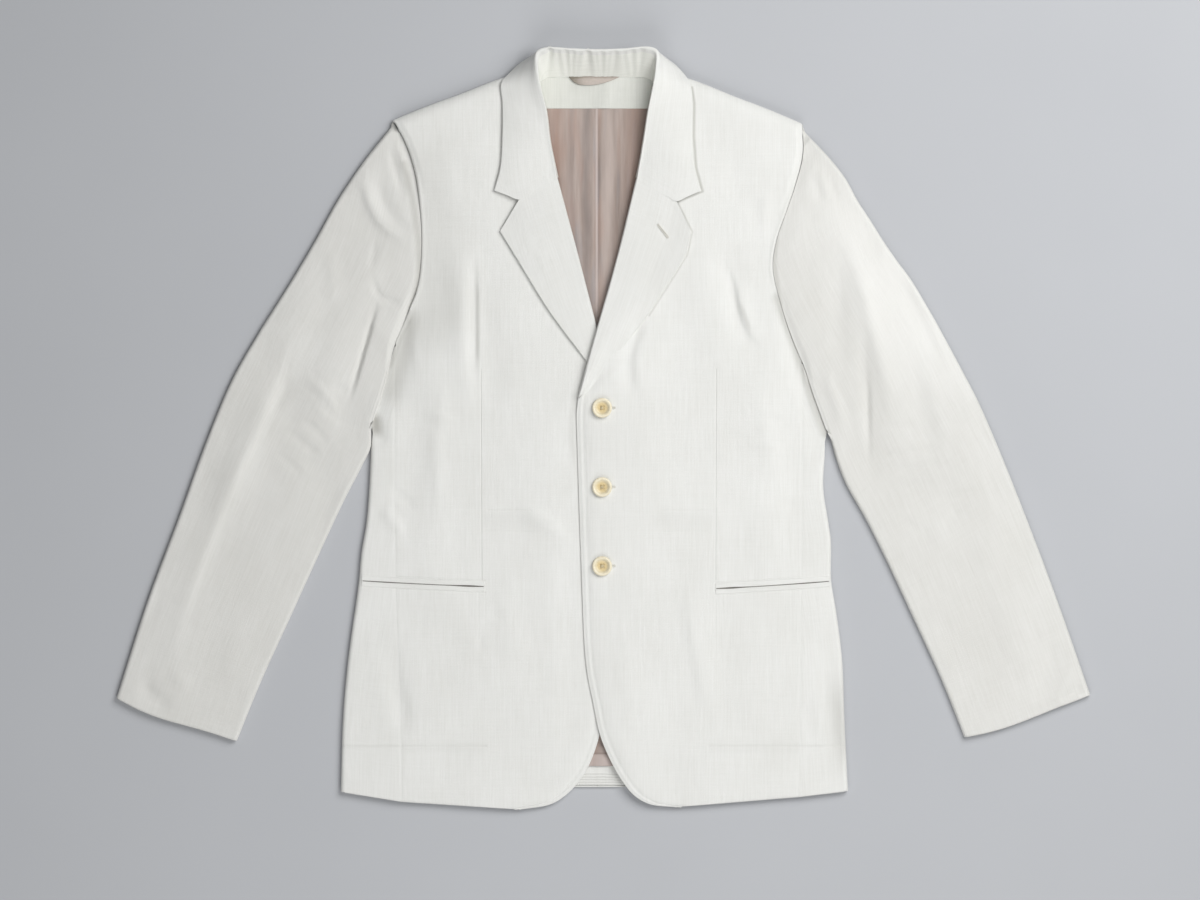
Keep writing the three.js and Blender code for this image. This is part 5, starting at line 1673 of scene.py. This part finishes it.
@dataclass
class Collar:
    """The collar over its ridge, and the stand inside the neck."""

    suiting: Suiting
    steps: int = 7
    inside: float = 6.0  # how far the collar reaches down the stand
    ridge_half: float = 2.6
    ridge_falls: Point = (0.4, 0.7)  # how far below the ridge its own control point and the next one lie
    swells: Point = (1.1, 2.0)  # how far the fall bulges, at the gorge and behind the neck
    fall_power: float = 0.85
    laps: Point = (0.3, 2.0)  # how far its cut end laps over the lapel, at its edge and more at the ridge
    lap_high: float = 0.25
    # Stations from the right gorge round the neck to the left one: ridge, edge and foot
    stations: tuple[tuple[Spot, Spot, Spot], ...] = (
        ((-47.9, 256.8, 16), (-112.8, 244.6), (-46.4, 258)),
        ((-51.4, 276, 17.5), (-106.5, 268), (-50.2, 276)),
        ((-55, 294, 20), (-104.5, 300), (-53.8, 294)),
        ((-59, 327, 25), (-104.5, 334), (-58, 326)),
        ((-65, 352, 29.5), (-106, 354), (-62.8, 346)),
        ((-67.5, 369, 32), (-98.5, 364.5, 6), (-64, 356)),
        ((-66.5, 384.5, 33), (-81.5, 378.5, 3.5), (-58, 360)),
        ((-57.5, 388.2, 33.5), (-60, 385, 2.8), (-46, 361)),
        ((-33, 387.0, 33), (-34, 383.5, 2.8), (-27, 361)),
        ((MID, 386.0, 32.5), (MID, 382.5, 2.8), (MID, 361)),
        ((19.6, 386.8, 33), (20.6, 383.5, 2.8), (14, 361)),
        ((46.5, 388.7, 33.5), (47, 385, 2.8), (33, 361)),
        ((53.3, 385.4, 33), (68, 378.5, 3.5), (45, 360)),
        ((53.5, 369, 32), (83.5, 364.5, 6), (50.5, 356)),
        ((51, 352, 29.5), (89.8, 353), (49, 346)),
        ((46, 327, 25), (92, 334), (45, 326)),
        ((41, 294, 20), (91.5, 300), (39.8, 294)),
        ((37.9, 276, 17.5), (94, 268), (36.7, 276)),
        ((34.4, 256.8, 16), (100.4, 244.1), (32.9, 258)),
    )
    # Wrinkles of the stand: x, width and depth
    wrinkles: tuple[tuple[float, float, float], ...] = (
        (-55, 3.0, 2.2), (-47, 2.2, 0.7), (-38.5, 2.6, 1.5), (-31.5, 2.2, 1.2), (-25, 1.8, 0.6),
        (-16, 3.2, 2.2), (-8, 1.8, 0.7), (-2, 2.6, 1.2), (6, 2.2, 0.7), (12, 3.0, 1.3), (21, 2.4, 0.7),
        (29, 3.4, 1.3), (39, 3.2, 1.2),
    )
    strays: float = 3.5  # how far the wrinkles wind to the sides at their feet
    strays_rate: float = 0.19
    foot_share: float = 0.25  # of a wrinkle's depth
    drawn_down: float = 0.8

    def lines(self, t: Array) -> tuple[Array, Array, Array]:
        """The ridge, the outer edge and the foot at each place from 0 to 1 round the neck."""
        columns = []
        for part in range(3):
            points = []
            for station in self.stations:
                spot = station[part]
                pattern = RIGHT_PATTERN if spot[0] < MID else LEFT_PATTERN
                here = np.array([spot[0]]), np.array([spot[1]])
                rests = float(pattern.top(*here, fine=False)[0]) + LAPEL_LIFT + LAPEL_CLOTH
                points.append((spot[0], spot[1], spot[2] if len(spot) > 2 else rests))
            columns.append(catmull(np.array(points), t))
        ridge, edge, foot = columns
        foot[:, 2] = LINING_LOW + LINING_CLOTH + GAP + 0.8 * STAND_CLOTH
        return ridge, edge, foot

    def sections(self) -> tuple[Array, Array]:
        """The control points of each section of the collar, and of the stand."""
        last = len(self.stations) - 1
        t = np.linspace(0, 1, 2 * last * self.steps + 1)
        ridge, edge, foot = self.lines(t)
        outward = unit((edge - foot) * (1, 1, 0))
        tall = np.linalg.norm(ridge - foot, axis=1, keepdims=True)
        low, lower = self.ridge_falls
        start = ridge + outward * self.ridge_half - np.array([0, 0, lower])
        gorge = (np.minimum(t, 1 - t) * 2 * last)[:, None]
        parts = [mix(ridge, foot, self.inside / tall), mix(ridge, foot, self.ridge_half / tall),
                 ridge - np.array([0, 0, low]), start]
        notch = np.where(edge[:, :1] < MID, RIGHT_PATTERN.notch, LEFT_PATTERN.notch)
        for j in range(1, 7):
            v = j / 6
            point = mix(start, edge, v)
            swell = mix(*self.swells, ramp(0, 3, gorge)) * math.sin(math.pi * v) * ramp(8, 4, gorge)
            point[:, 2:] = mix(start[:, 2:], edge[:, 2:], v**self.fall_power) + swell
            share = v / NOTCH_AT if v < NOTCH_AT else (1 - v) / (1 - NOTCH_AT)
            pull = share * np.maximum(0, 1 - gorge / 2) ** 2
            straight = mix(start, edge, NOTCH_AT)
            point[:, :2] += (notch + (0, -0.4) - straight[:, :2]) * pull
            parts.append(point)
        at_gorge = np.maximum(0, 1 - gorge) ** 2
        for j, part in enumerate(parts):
            over = self.laps[0] + self.laps[1] * max(0.0, 1 - max(0, j - 3) / 4)
            part[:, 1:2] -= over * at_gorge * (j > 0)
            part[:, 2:] += self.lap_high * at_gorge * (j > 2)
        top = mix(ridge, foot, (self.inside + 0.1) / tall)
        return np.stack(parts), straight_rows(foot, top, np.linspace(0, 1, 25))

    def wrinkled(self, grid: Array, height: Array) -> Array:
        """The stand's inner face with its upright wrinkles.

        Args:
            grid: Points of the face.
            height: Share of the way up, at each point.

        Returns:
            The points, moved towards the back of the neck by bells of x.
        """
        x = grid[..., 0]
        lean = x + self.strays * (1 - height) * np.sin(self.strays_rate * x)
        depth = sum(deep * bell((lean - at) / wide) for at, wide, deep in self.wrinkles)
        moved = ramp(330, 356, grid[..., 1]) * depth * mix(self.foot_share, 1, height)
        grid = grid.copy()
        grid[..., 1] += moved
        grid[..., 2] -= self.drawn_down * moved
        return grid

    def build(self) -> None:
        """Builds and dresses the collar and its stand."""
        parts, stand = self.sections()
        t = np.concatenate([np.linspace(0, 3 / 9, 13), np.linspace(3 / 9, 1, 43)[1:]])
        grid = np.swapaxes(catmull(parts, t), 0, 1)
        x, y = grid[..., 0], grid[..., 1]
        grid[..., 2] += ramp(0.35, 0.6, t)[None] * waves(x, y, 41, size=46, high=0.2)
        grid = mix(self.wrinkled(grid, np.ones_like(x)), grid, ramp(0.12, 0.3, t)[None, :, None])
        wall = Wall(grid, LAPEL_CLOTH, Rims(0, 0, 0, 1), pull=6.0)
        piece = cloth("collar_cloth", wall, self.suiting.material("collar_suiting", seed=26.0), "collar")
        height = np.broadcast_to(np.linspace(0, 1, stand.shape[1])[None], stand.shape[:2])
        wall = Wall(self.wrinkled(stand, height), STAND_CLOTH, Rims(0, 0, 0, 0), pull=4.0)
        suiting = STAND_IN_PAINTED_LIGHT.material("stand_suiting", seed=29.0)
        piece = cloth("collar_stand_cloth", wall, suiting, "collar_stand")


@dataclass
class Sleeves:
    """The sleeves: flattened tubes in a top sleeve, which wraps both folds, and an under sleeve."""

    suiting: Suiting
    strip: float = 22.0
    cuff_bow: float = 3.6
    fold_row: float = 13.0  # from here down the inner side is a turned fold
    over_body: float = 7.1  # height of its edge where it lies against the body's side
    lap: float = 1.8  # how far that edge reaches over the body
    lap_thinner: float = 0.3
    over_armhole: tuple[float, float] = (-0.6, 0.9)  # how far each sleeve stands over the body at its seam
    seam_reach: tuple[float, float] = (9.0, 3.0)  # how far it rises over from there, at the cap and below
    cap_high: float = 0.9  # fullness of the cap
    cap_in: float = 26.0
    cap_wide: float = 22.0
    folds_from: Point = (14.0, 12.0)  # how far in from its inner and outer sides its folds are whole

    def place(self, pattern: Pattern, row: Array, distance: Array, width: Array) -> tuple[Array, Array]:
        """Points on the table's plane a distance in from the outer fold, with the cuff's slight bow."""
        inner, outer = pattern.sleeve_lines(row[:, 0])
        t = distance / width
        x = mix(outer[:, :1], inner[:, :1], t)
        y = mix(outer[:, 1:], inner[:, 1:], t)
        bow = self.cuff_bow * arch(t) + pattern.cuff_lean * np.sin(2 * math.pi * t)
        return x, y - bow * ramp(SLEEVE_ROWS - 4, SLEEVE_ROWS, row)

    def measures(self, pattern: Pattern, row: Array) -> tuple[Array, Array, Array, Array]:
        """Width, fold radius, outer strip and inner strip at each row."""
        inner, outer = pattern.sleeve_lines(row[:, 0])
        width = np.linalg.norm(inner - outer, axis=1, keepdims=True)
        radius = np.minimum(SLEEVE_HIGH / 2, width / 3.2)
        strip = np.minimum(self.strip, width * 0.35)
        return width, radius, strip, mix(radius + 1, strip, ramp(CAP_ROWS - 1, CAP_ROWS + 4, row))

    @staticmethod
    def rows() -> Array:
        """Row numbers of the top sleeve, from the shoulder to the cuff."""
        return row_numbers((-1, CAP_ROWS - 1, 9), (CAP_ROWS - 1, SLEEVE_ELBOW_ROW, 7),
                           (SLEEVE_ELBOW_ROW, SLEEVE_ROWS, 9))[1:, None]

    def above_fold(self, row: Array) -> Array:
        """1 in the rows above the place where the inner fold sets in, and 0 from there down."""
        return ramp(self.fold_row, self.fold_row - 0.6, row)

    def top_grid(self, pattern: Pattern) -> Array:
        """The top sleeve's outer face.

        A section runs under from a strip, half round the outer fold, over the top at the sleeve's
        height, half round the inner fold and under again. Above the underarm it ends flat at the
        armhole instead. Along it, q is 0 at the strip's end, 1 to 5 round the outer fold, 12 to 16
        round the inner one and 17 at the inner strip's end.
        """
        row = self.rows()
        width, radius, strip, inner_strip = self.measures(pattern, row)
        q = np.concatenate([np.linspace(0, 1, 5), np.linspace(1, 5, 11)[1:], 5 + 7 * crowded(74, 0.35)[1:],
                            np.linspace(12, 16, 11)[1:], np.linspace(16, 17, 5)[1:]])[None]
        outer_angle = np.pi * np.clip((q - 1) / 4, 0, 1)
        inner_angle = np.pi * np.clip((q - 12) / 4, 0, 1)
        over = mix(radius, width - radius, np.clip((q - 5) / 7, 0, 1))
        distance = np.where(q < 5, radius - radius * np.sin(outer_angle), over)
        distance = np.where(q < 1, mix(strip, radius, q), distance)
        high = np.where(q < 5, radius - radius * np.cos(outer_angle), 2 * radius)
        turned = np.where(q > 12, width - radius + radius * np.sin(inner_angle), distance)
        turned = np.where(q > 16, mix(width - radius, width - inner_strip, q - 16), turned)
        turned_high = np.where(q > 12, radius + radius * np.cos(inner_angle), high)
        lap = self.lap * ramp(CAP_ROWS - 1, CAP_ROWS + 1, row) * self.above_fold(row)
        plain = np.where(q > 12, mix(width - radius, width + lap, (q - 12) / 5), distance)
        is_turned = ramp(self.fold_row - 1.2, self.fold_row, row)
        distance, high = mix(plain, turned, is_turned), mix(high, turned_high, is_turned)
        x, y = self.place(pattern, row, distance, width)
        from_seam = width - distance
        cap = self.cap_high * bell((from_seam - self.cap_in) / self.cap_wide)
        cap = cap * ramp(CAP_ROWS, CAP_ROWS - 1, row)
        forms = sum(form.height(x, y) for form in pattern.sleeve_forms)
        forms = forms + relief(pattern.sleeve_creases, x, y)
        forms = forms + waves(x, y, 51 + pattern.side.sign, size=60, high=0.3)
        inside = ramp(0, self.folds_from[0], from_seam) * ramp(0, self.folds_from[1], distance)
        top = mix(2 * radius, SLEEVE_HIGH + cap + forms * inside, ramp(12, 40, width))
        over = self.over_armhole[pattern.side is Side.LEFT]
        past_cap = ramp(CAP_ROWS - 1, CAP_ROWS + 0.5, row)
        seam = mix(armhole_high(TOP_ROW - 1 - row) + over, self.over_body, past_cap)
        rising = ramp(0, 1, from_seam / mix(*self.seam_reach, past_cap))
        top = mix(mix(np.minimum(top, seam), top, rising), top, is_turned)
        return grid_of(x, y, np.where(high <= radius, high, mix(radius, top, (high - radius) / radius)))

    def build(self) -> None:
        """Builds and dresses both sleeves."""
        for pattern in PATTERNS:
            name = pattern.side.value
            grid = self.top_grid(pattern)
            row = self.rows()
            on_body = ramp(CAP_ROWS - 1, CAP_ROWS, row) * self.above_fold(row)
            at_edge = ramp(0.75, 1, np.linspace(0, 1, grid.shape[1]))
            from_corner = mix(0.4, 3.0, ramp(-1, 2, row))
            thick = np.minimum(SLEEVE_CLOTH, from_corner) - self.lap_thinner * at_edge * on_body
            wall = Wall(grid, thick, Rims(0, 1, 0, on_body[:, 0]), pull=5.0)
            lines = shade_lines(pattern.sleeve_shades)
            suiting = self.suiting.material(f"{name}_sleeve_suiting", lines, 35.0 + pattern.side.sign)
            piece = cloth(f"{name}_top_sleeve_cloth", wall, suiting, f"top_sleeve_{name}")
            self._under(pattern)

    def _under(self, pattern: Pattern) -> None:
        """The under sleeve: flat on the table between the top sleeve's strips."""
        row = row_numbers((0, SLEEVE_ELBOW_ROW, 4), (SLEEVE_ELBOW_ROW, SLEEVE_ROWS, 5))[:, None]
        width, _, strip, inner_strip = self.measures(pattern, row)
        is_turned = np.clip(row - (CAP_ROWS - 2), 0, 1)
        end = width - GAP - is_turned * inner_strip
        x, y = self.place(pattern, row, mix(strip + GAP, end, np.linspace(0, 1, 31)[None]), width)
        wall = Wall(grid_of(x, y, BACK_CLOTH), BACK_CLOTH - 0.02, Rims(0, 1, 0, 0), pull=4.0)
        name = pattern.side.value
        suiting = self.suiting.material(f"{name}_under_sleeve_suiting", seed=44.0 + pattern.side.sign)
        piece = cloth(f"{name}_under_sleeve_cloth", wall, suiting, f"under_sleeve_{name}")


@dataclass
class Pockets:
    """Jetted pockets: two lips of cloth and the pocketing between them."""

    suiting: Suiting
    # pocketing: dark as painted shade of the slits
    pocketing: Suiting
    wide: float = 5.6
    steps: int = 90
    sag: float = 0.5
    shut: float = 0.16  # half of how far the slit stands open everywhere
    gapes: tuple[tuple[float, float, float], ...] = (  # and how much more, where, and over what share of it
        (0.5, 0.86, 0.09),
        (0.16, 0.2, 0.12),
    )

    def build(self) -> dict[Side, list[bpy.types.Object]]:
        """Builds and dresses the jets and the mouth of each pocket."""
        return {pattern.side: [self._jet(pattern, "upper", 1), self._jet(pattern, "lower", -1),
                               self._mouth(pattern)] for pattern in PATTERNS}

    def _middle(self, pattern: Pattern, t: Array) -> tuple[Array, Array]:
        """The slit's line, which sags a little between its ends."""
        (ax, ay), (bx, by) = pattern.pocket
        return mix(ax, bx, t), mix(ay, by, t) - self.sag * arch(t)

    def _gape(self, pattern: Pattern, t: Array) -> Array:
        """Half of how far the slit stands open, most near its front end."""
        to_front = t if pattern.side is Side.RIGHT else 1 - t
        return sum((more * bell((to_front - at) / over) for more, at, over in self.gapes), self.shut)

    def _jet(self, pattern: Pattern, which: str, sign: int) -> bpy.types.Object:
        """A lip: a strip whose section is a low crown, rolled in at the slit.

        Args:
            pattern: The side's pattern.
            which: The lip's name.
            sign: 1 where it lies above the slit, and -1 below it.

        Returns:
            The piece.
        """
        t = np.linspace(0, 1, self.steps + 1)[:, None]
        v = np.linspace(-1, 1, 13)[None] * sign
        x, middle = self._middle(pattern, t)
        share = (v * sign + 1) / 2
        y = middle + sign * (self._gape(pattern, t) + self.wide * share)
        x = x + 0 * y
        crown = 0.3 * (1 - np.abs(2 * share - 1) ** 4) + 0.35 * bell((share - 0.1) / 0.18)
        grid = grid_of(x, y, pattern.top(x, y) + 0.08 + crown)
        name = f"pocket_jet_{pattern.side.value}_{which}"
        suiting = self.suiting.material(f"{name}_suiting", seed=50 + 0.5 * sign)
        wall = Wall(grid, 0.9, Rims(0.6, 0.6, 1, 1), pull=1.6)
        return cloth(f"{name}_cloth", wall, suiting, name, weave=grid[..., 1::-1])

    def _mouth(self, pattern: Pattern) -> bpy.types.Object:
        """The pocketing seen in the slit, dark as painted shade of the slit: a narrow strip just below the
        lips.
        """
        t = np.linspace(0.01, 0.99, self.steps + 1)[:, None]
        x, middle = self._middle(pattern, t)
        y = middle + 1.3 * np.linspace(-1, 1, 5)[None]
        x = x + 0 * y
        grid = grid_of(x, y, pattern.top(x, y) + 0.1)
        name = f"{pattern.side.value}_pocket_mouth"
        slit_cloth_in_painted_shade = self.pocketing.material(f"{name}_cotton")
        return cloth(name, Wall(grid, 0.4, Rims(0, 0, 0, 0)), slit_cloth_in_painted_shade, weave=grid[..., :2])


@dataclass
class Fastenings:
    """The buttons with their thread, and the worked buttonholes."""

    resin: Resin
    thread: Thread
    x: float = -1.5
    heights: tuple[tuple[str, float], ...] = (("top", 20.6), ("middle", -60.8), ("bottom", -142.1))
    radius: float = 10.2
    hole_out: float = 2.1
    hole_deep: float = 0.95
    hole_rim: Point = (1.15, 0.75)  # from a hole's middle, where it sets in and where it is deepest
    strand: float = 0.22
    strands_aside: tuple[float, ...] = (-0.35, 0.0, 0.35)
    strand_lift: float = 0.3
    strand_bow: float = 1.35
    cord: float = 0.55
    slit_half: float = 0.75  # half the distance between the two sides of a buttonhole's cord
    stitch_long: float = 0.7
    stitch_high: float = 0.06
    slit: tuple[Point, Point] = ((-9.0, -0.6), (13.0, 0.2))  # its ends, from the button's middle
    lapel_slit: tuple[Point, Point] = ((56.2, 208.6), (66.0, 196.2))
    # The button's profile from the middle of its face over the rim to the middle of its back: radius, height
    profile: Line = ((0, 1.15), (1.5, 1.1), (3.0, 1.12), (4.6, 1.2), (5.8, 1.6), (6.8, 2.6), (7.7, 3.35),
                     (8.6, 3.6), (9.4, 3.45), (10.0, 2.9), (10.2, 2.1), (10.1, 1.3), (9.4, 0.5), (8.0, 0.1),
                     (4.0, 0.0), (0, 0.0))

    @property
    def holes(self) -> list[Point]:
        """The four holes' places from the button's middle."""
        turns = [math.pi * turn for turn in (0.25, 0.75, 1.25, 1.75)]
        return [(self.hole_out * math.cos(turn), self.hole_out * math.sin(turn)) for turn in turns]

    def rest_height(self, y: float) -> float:
        """Height of the front's highest point round a button, as the solids have it."""
        angle = np.linspace(0, 2 * math.pi, 23)
        x, y = self.x + self.radius * np.cos(angle), y + self.radius * np.sin(angle)
        return float(LEFT_PATTERN.top(x, y, fine=False).max()) + GAP

    def build(self) -> list[bpy.types.Object]:
        """Builds and dresses the buttons, their thread and the buttonholes."""
        thread = self.thread.material("button_thread")
        silk = Thread((0.80, 0.785, 0.72)).material("buttonhole_silk")
        made = []
        for which, y in self.heights:
            base = self.rest_height(y)
            resin = self.resin.material(f"button_{which}_resin", (self.x, y))
            button = self._button(f"button_{which}_turned", y, base)
            made.append(dress(button, resin, "button", f"button_{which}"))
            made.append(dress(self._sewing(f"button_{which}_thread", y, base), thread, "button"))
            ends = [(self.x + aside, y + up) for aside, up in self.slit]
            hole = self._buttonhole(f"buttonhole_{which}", *ends,
                                    lambda x, at: LEFT_PATTERN.top(x, at) + 0.05)
            made.append(dress(hole, silk, "cloth"))
        return made

    def lapel_hole(self, grid: Array) -> bpy.types.Object:
        """The worked hole of the left lapel, laid on the lapel's face."""
        points = grid.reshape(-1, 3)

        def on_lapel(x: Array, y: Array) -> Array:
            """Height of the nearest point of the lapel."""
            away = (points[:, 0] - x[..., None]) ** 2 + (points[:, 1] - y[..., None]) ** 2
            near = np.argsort(away, -1)[..., :4]
            weight = 1 / (np.take_along_axis(away, near, -1) + 0.05)
            return (points[near, 2] * weight).sum(-1) / weight.sum(-1) + 0.15

        silk = Thread((0.78, 0.765, 0.70)).material("lapel_hole_silk")
        piece = self._buttonhole("lapel_buttonhole", *self.lapel_slit, on_lapel)
        return dress(piece, silk, "cloth")

    def _button(self, name: str, y: float, base: float) -> bpy.types.Object:
        """A turned button: its profile swept round, with four dimples sunk for the holes.

        Args:
            name: The piece's name.
            y: Where its middle lies.
            base: Height of its back.

        Returns:
            The piece.
        """
        rings = catmull(np.array(self.profile), np.linspace(0, 1, 91))
        angle = np.linspace(0, 2 * math.pi, 96, endpoint=False)
        x, along = rings[:, :1] * np.cos(angle), rings[:, :1] * np.sin(angle)
        z = np.broadcast_to(rings[:, 1:], x.shape).copy()
        upper = np.arange(len(rings))[:, None] < len(rings) // 2
        for hole_x, hole_y in self.holes:
            away = np.hypot(x - hole_x, along - hole_y)
            z -= np.where(upper, self.hole_deep * ramp(*self.hole_rim, away), 0)
        points = np.stack([x + self.x, along + y, z + base], -1).reshape(-1, 3)
        a = np.arange(x.size).reshape(x.shape)
        b = np.roll(a, -1, 1)
        faces = np.stack([a[:-1], a[1:], b[1:], b[:-1]], -1).reshape(-1, 4)
        return welded(make_object(name, points, faces[:, ::-1], sharp=70))

    def _sewing(self, name: str, y: float, base: float) -> bpy.types.Object:
        """The thread: strands that cross between the holes and bow up over the button's middle."""
        strands = []
        t = np.linspace(0, 1, 15)
        for first, second in ((0, 2), (1, 3), (0, 2), (1, 3)):
            (ax, ay), (bx, by) = self.holes[first], self.holes[second]
            along = np.stack([mix(ax, bx, t), mix(ay, by, t)], -1)
            across = unit(np.array([-(by - ay), bx - ax]))
            for aside in self.strands_aside:
                bow = self.strand_bow * np.sin(math.pi * t) ** 0.6
                lift = base + self.strand_lift + bow + 0.01 * len(strands)
                line = np.concatenate([along + across * aside + (self.x, y), lift[:, None]], -1)
                strands.append(tube(line, self.strand, 8))
        return make_object(name, *joined_meshes(strands))

    def _buttonhole(self, name: str, start: Point, end: Point,
                    on: Callable[[Array, Array], Array]) -> bpy.types.Object:
        """A worked hole: a low cord round a stadium, whose height ripples once a stitch.

        Args:
            name: The piece's name.
            start: One end of the slit.
            end: The other end.
            on: Gives the height of the cloth at x and y.

        Returns:
            The piece.
        """
        (ax, ay), (bx, by) = start, end
        long = math.hypot(bx - ax, by - ay)
        way, half = np.array([bx - ax, by - ay]) / long, self.slit_half
        s = np.linspace(0, 2 * (long + math.pi * half), 220, endpoint=False)
        turn = math.pi * half
        first, back, last = s < long, (s >= long + turn) & (s < 2 * long + turn), s >= 2 * long + turn
        round_end = (s >= long) & ~back & ~last
        angle = np.where(round_end, (s - long) / half, (s - 2 * long - turn) / half)
        along = np.select([first, back, round_end], [s, 2 * long + turn - s, long + half * np.sin(angle)],
                          -half * np.sin(angle))
        across = np.select([first, back, round_end], [-half + 0 * s, half + 0 * s, -half * np.cos(angle)],
                           half * np.cos(angle))
        x = ax + along * way[0] - across * way[1]
        y = ay + along * way[1] + across * way[0]
        ripple = self.stitch_high * np.sin(2 * math.pi * s / self.stitch_long)
        line = np.stack([x, y, on(x, y) + 0.12 + ripple], -1)
        return make_object(name, *tube(line, self.cord, 8, closed=True))


def tube(line: Array, radius: float, sides: int, closed: bool = False) -> tuple[Array, Array]:
    """A round tube carried along a line, with its ends drawn to a point.

    Args:
        line: Points of the line.
        radius: The tube's radius.
        sides: Corners of its section.
        closed: Whether the line joins its own start.

    Returns:
        Points and faces.
    """
    ahead = np.roll(line, -1, 0) - np.roll(line, 1, 0) if closed else np.gradient(line, axis=0)
    forward = unit(ahead)
    aside = unit(np.cross(forward, (0.0, 0.0, 1.0)))
    over = np.cross(aside, forward)
    angle = np.linspace(0, 2 * math.pi, sides, endpoint=False)
    size = np.full((len(line), 1, 1), radius)
    if not closed:
        size[[0, -1]] = radius * 0.05
    round_it = np.cos(angle)[None, :, None] * aside[:, None] + np.sin(angle)[None, :, None] * over[:, None]
    points = (line[:, None] + round_it * size).reshape(-1, 3)
    number = np.arange(len(points)).reshape(len(line), sides)
    ring = number if closed else number[:-1]
    following = np.roll(number, -1, 0) if closed else number[1:]
    faces = np.stack([ring, following, np.roll(following, -1, 1), np.roll(ring, -1, 1)], -1).reshape(-1, 4)
    if not closed:
        start, end, corners = number[0], number[-1], range(1, sides - 2, 2)
        caps = [(start[0], start[k], start[k + 1], start[(k + 2) % sides]) for k in corners]
        caps += [(end[0], end[(k + 2) % sides], end[k + 1], end[k]) for k in corners]
        faces = np.concatenate([faces, np.array(caps)])
    return points, faces


def joined_meshes(parts: Sequence[tuple[Array, Array]]) -> tuple[Array, Array]:
    """Several meshes as one."""
    points, faces, total = [], [], 0
    for part_points, part_faces in parts:
        points.append(part_points)
        faces.append(part_faces + total)
        total += len(part_points)
    return np.concatenate(points), np.concatenate(faces)


def welded(piece: bpy.types.Object) -> bpy.types.Object:
    """Merges points that lie on each other, and turns every face out."""
    mesh = bmesh.new()
    mesh.from_mesh(piece.data)
    bmesh.ops.remove_doubles(mesh, verts=mesh.verts, dist=1e-6)
    bmesh.ops.recalc_face_normals(mesh, faces=mesh.faces)
    mesh.to_mesh(piece.data)
    mesh.free()
    return piece


@dataclass(frozen=True)
class Lamp:
    """A square soft light that faces the blazer's middle."""

    name: str
    place: tuple[float, float, float]
    size: float
    power: float

    def build(self) -> None:
        """Puts the light into the scene."""
        data = bpy.data.lights.new(self.name, "AREA")
        data.shape = "SQUARE"
        data.size = self.size * MM
        data.energy = self.power
        lamp = bpy.data.objects.new(self.name, data)
        at = np.array(self.place) * MM
        lamp.location = at
        towards = unit(-at)
        lamp.rotation_euler = (math.acos(-towards[2]), 0.0, math.atan2(-towards[0], towards[1]))
        bpy.context.scene.collection.objects.link(lamp)


@dataclass
class Studio:
    """A plain pale floor, soft light and a camera that looks straight down."""

    centre: Point = (-3.6, -22.7)
    view_wide: float = 1236.0
    camera_high: float = 8000.0
    sensor: float = 36.0
    sees: float = 40.0  # metres
    floor_half: float = 6000.0
    floor_light: Colour = (0.50, 0.51, 0.53)
    floor_dark: Colour = (0.47, 0.48, 0.50)
    mottle: float = 240.0
    sky: Colour = (0.96, 0.98, 1.0)
    sky_strength: float = 0.2
    lamps: tuple[Lamp, ...] = (
        Lamp("key_light", (1040, 830, 1740), 1500, 41.0),
        Lamp("fill_light", (0, -1600, 1540), 2000, 22.0),
    )

    def build(self) -> None:
        """Builds the floor, the lights, the sky and the camera."""
        self._floor()
        for lamp in self.lamps:
            lamp.build()
        bpy.context.scene.view_settings.view_transform = "Standard"
        world = bpy.data.worlds.new("studio")
        bpy.context.scene.world = world
        world.use_nodes = True
        background = world.node_tree.nodes["Background"]
        background.inputs["Color"].default_value = (*self.sky, 1.0)
        background.inputs["Strength"].default_value = self.sky_strength
        data = bpy.data.cameras.new("camera")
        data.lens = self.sensor * self.camera_high / self.view_wide
        data.sensor_width = self.sensor
        data.clip_end = self.sees
        camera = bpy.data.objects.new("camera", data)
        camera.location = (self.centre[0] * MM, self.centre[1] * MM, self.camera_high * MM)
        bpy.context.scene.collection.objects.link(camera)
        bpy.context.scene.camera = camera

    def _floor(self) -> None:
        """A pale floor with a faint mottle."""
        half = self.floor_half
        points = np.array([(-half, -half, 0), (half, -half, 0), (half, half, 0), (-half, half, 0)])
        floor = make_object("floor", points, np.array([[0, 1, 2, 3]]))
        shader = Shader("floor_paper")
        x, y, _ = shader.part_place()
        cloud = shader.noise(x / self.mottle, y / self.mottle, 0.0, 3.0)
        colour = shader.blend(cloud, self.floor_light, self.floor_dark)
        floor.data.materials.append(shader.surface(None, MM, Base_Color=colour, Roughness=0.9))


def main() -> None:
    """Builds the studio and each sub-assembly in order."""
    logging.basicConfig(level=logging.INFO, format="%(message)s")
    Studio().build()
    Back(SUITING, Satin()).build()
    fronts = Fronts(SUITING).build()
    SidePanels(SUITING).build()
    jets = Pockets(SUITING, POCKET_CLOTH_IN_PAINTED_SHADE).build()
    lapels = Lapels(SUITING)
    lapels.build()
    fastenings = Fastenings(Resin(), Thread((0.74, 0.64, 0.42)))
    on_left = [*fastenings.build(), fastenings.lapel_hole(lapels.grid(LEFT_PATTERN))]
    Collar(SUITING).build()
    Sleeves(SLEEVES_IN_PAINTED_SHADE).build()


if __name__ == "__main__":
    main()
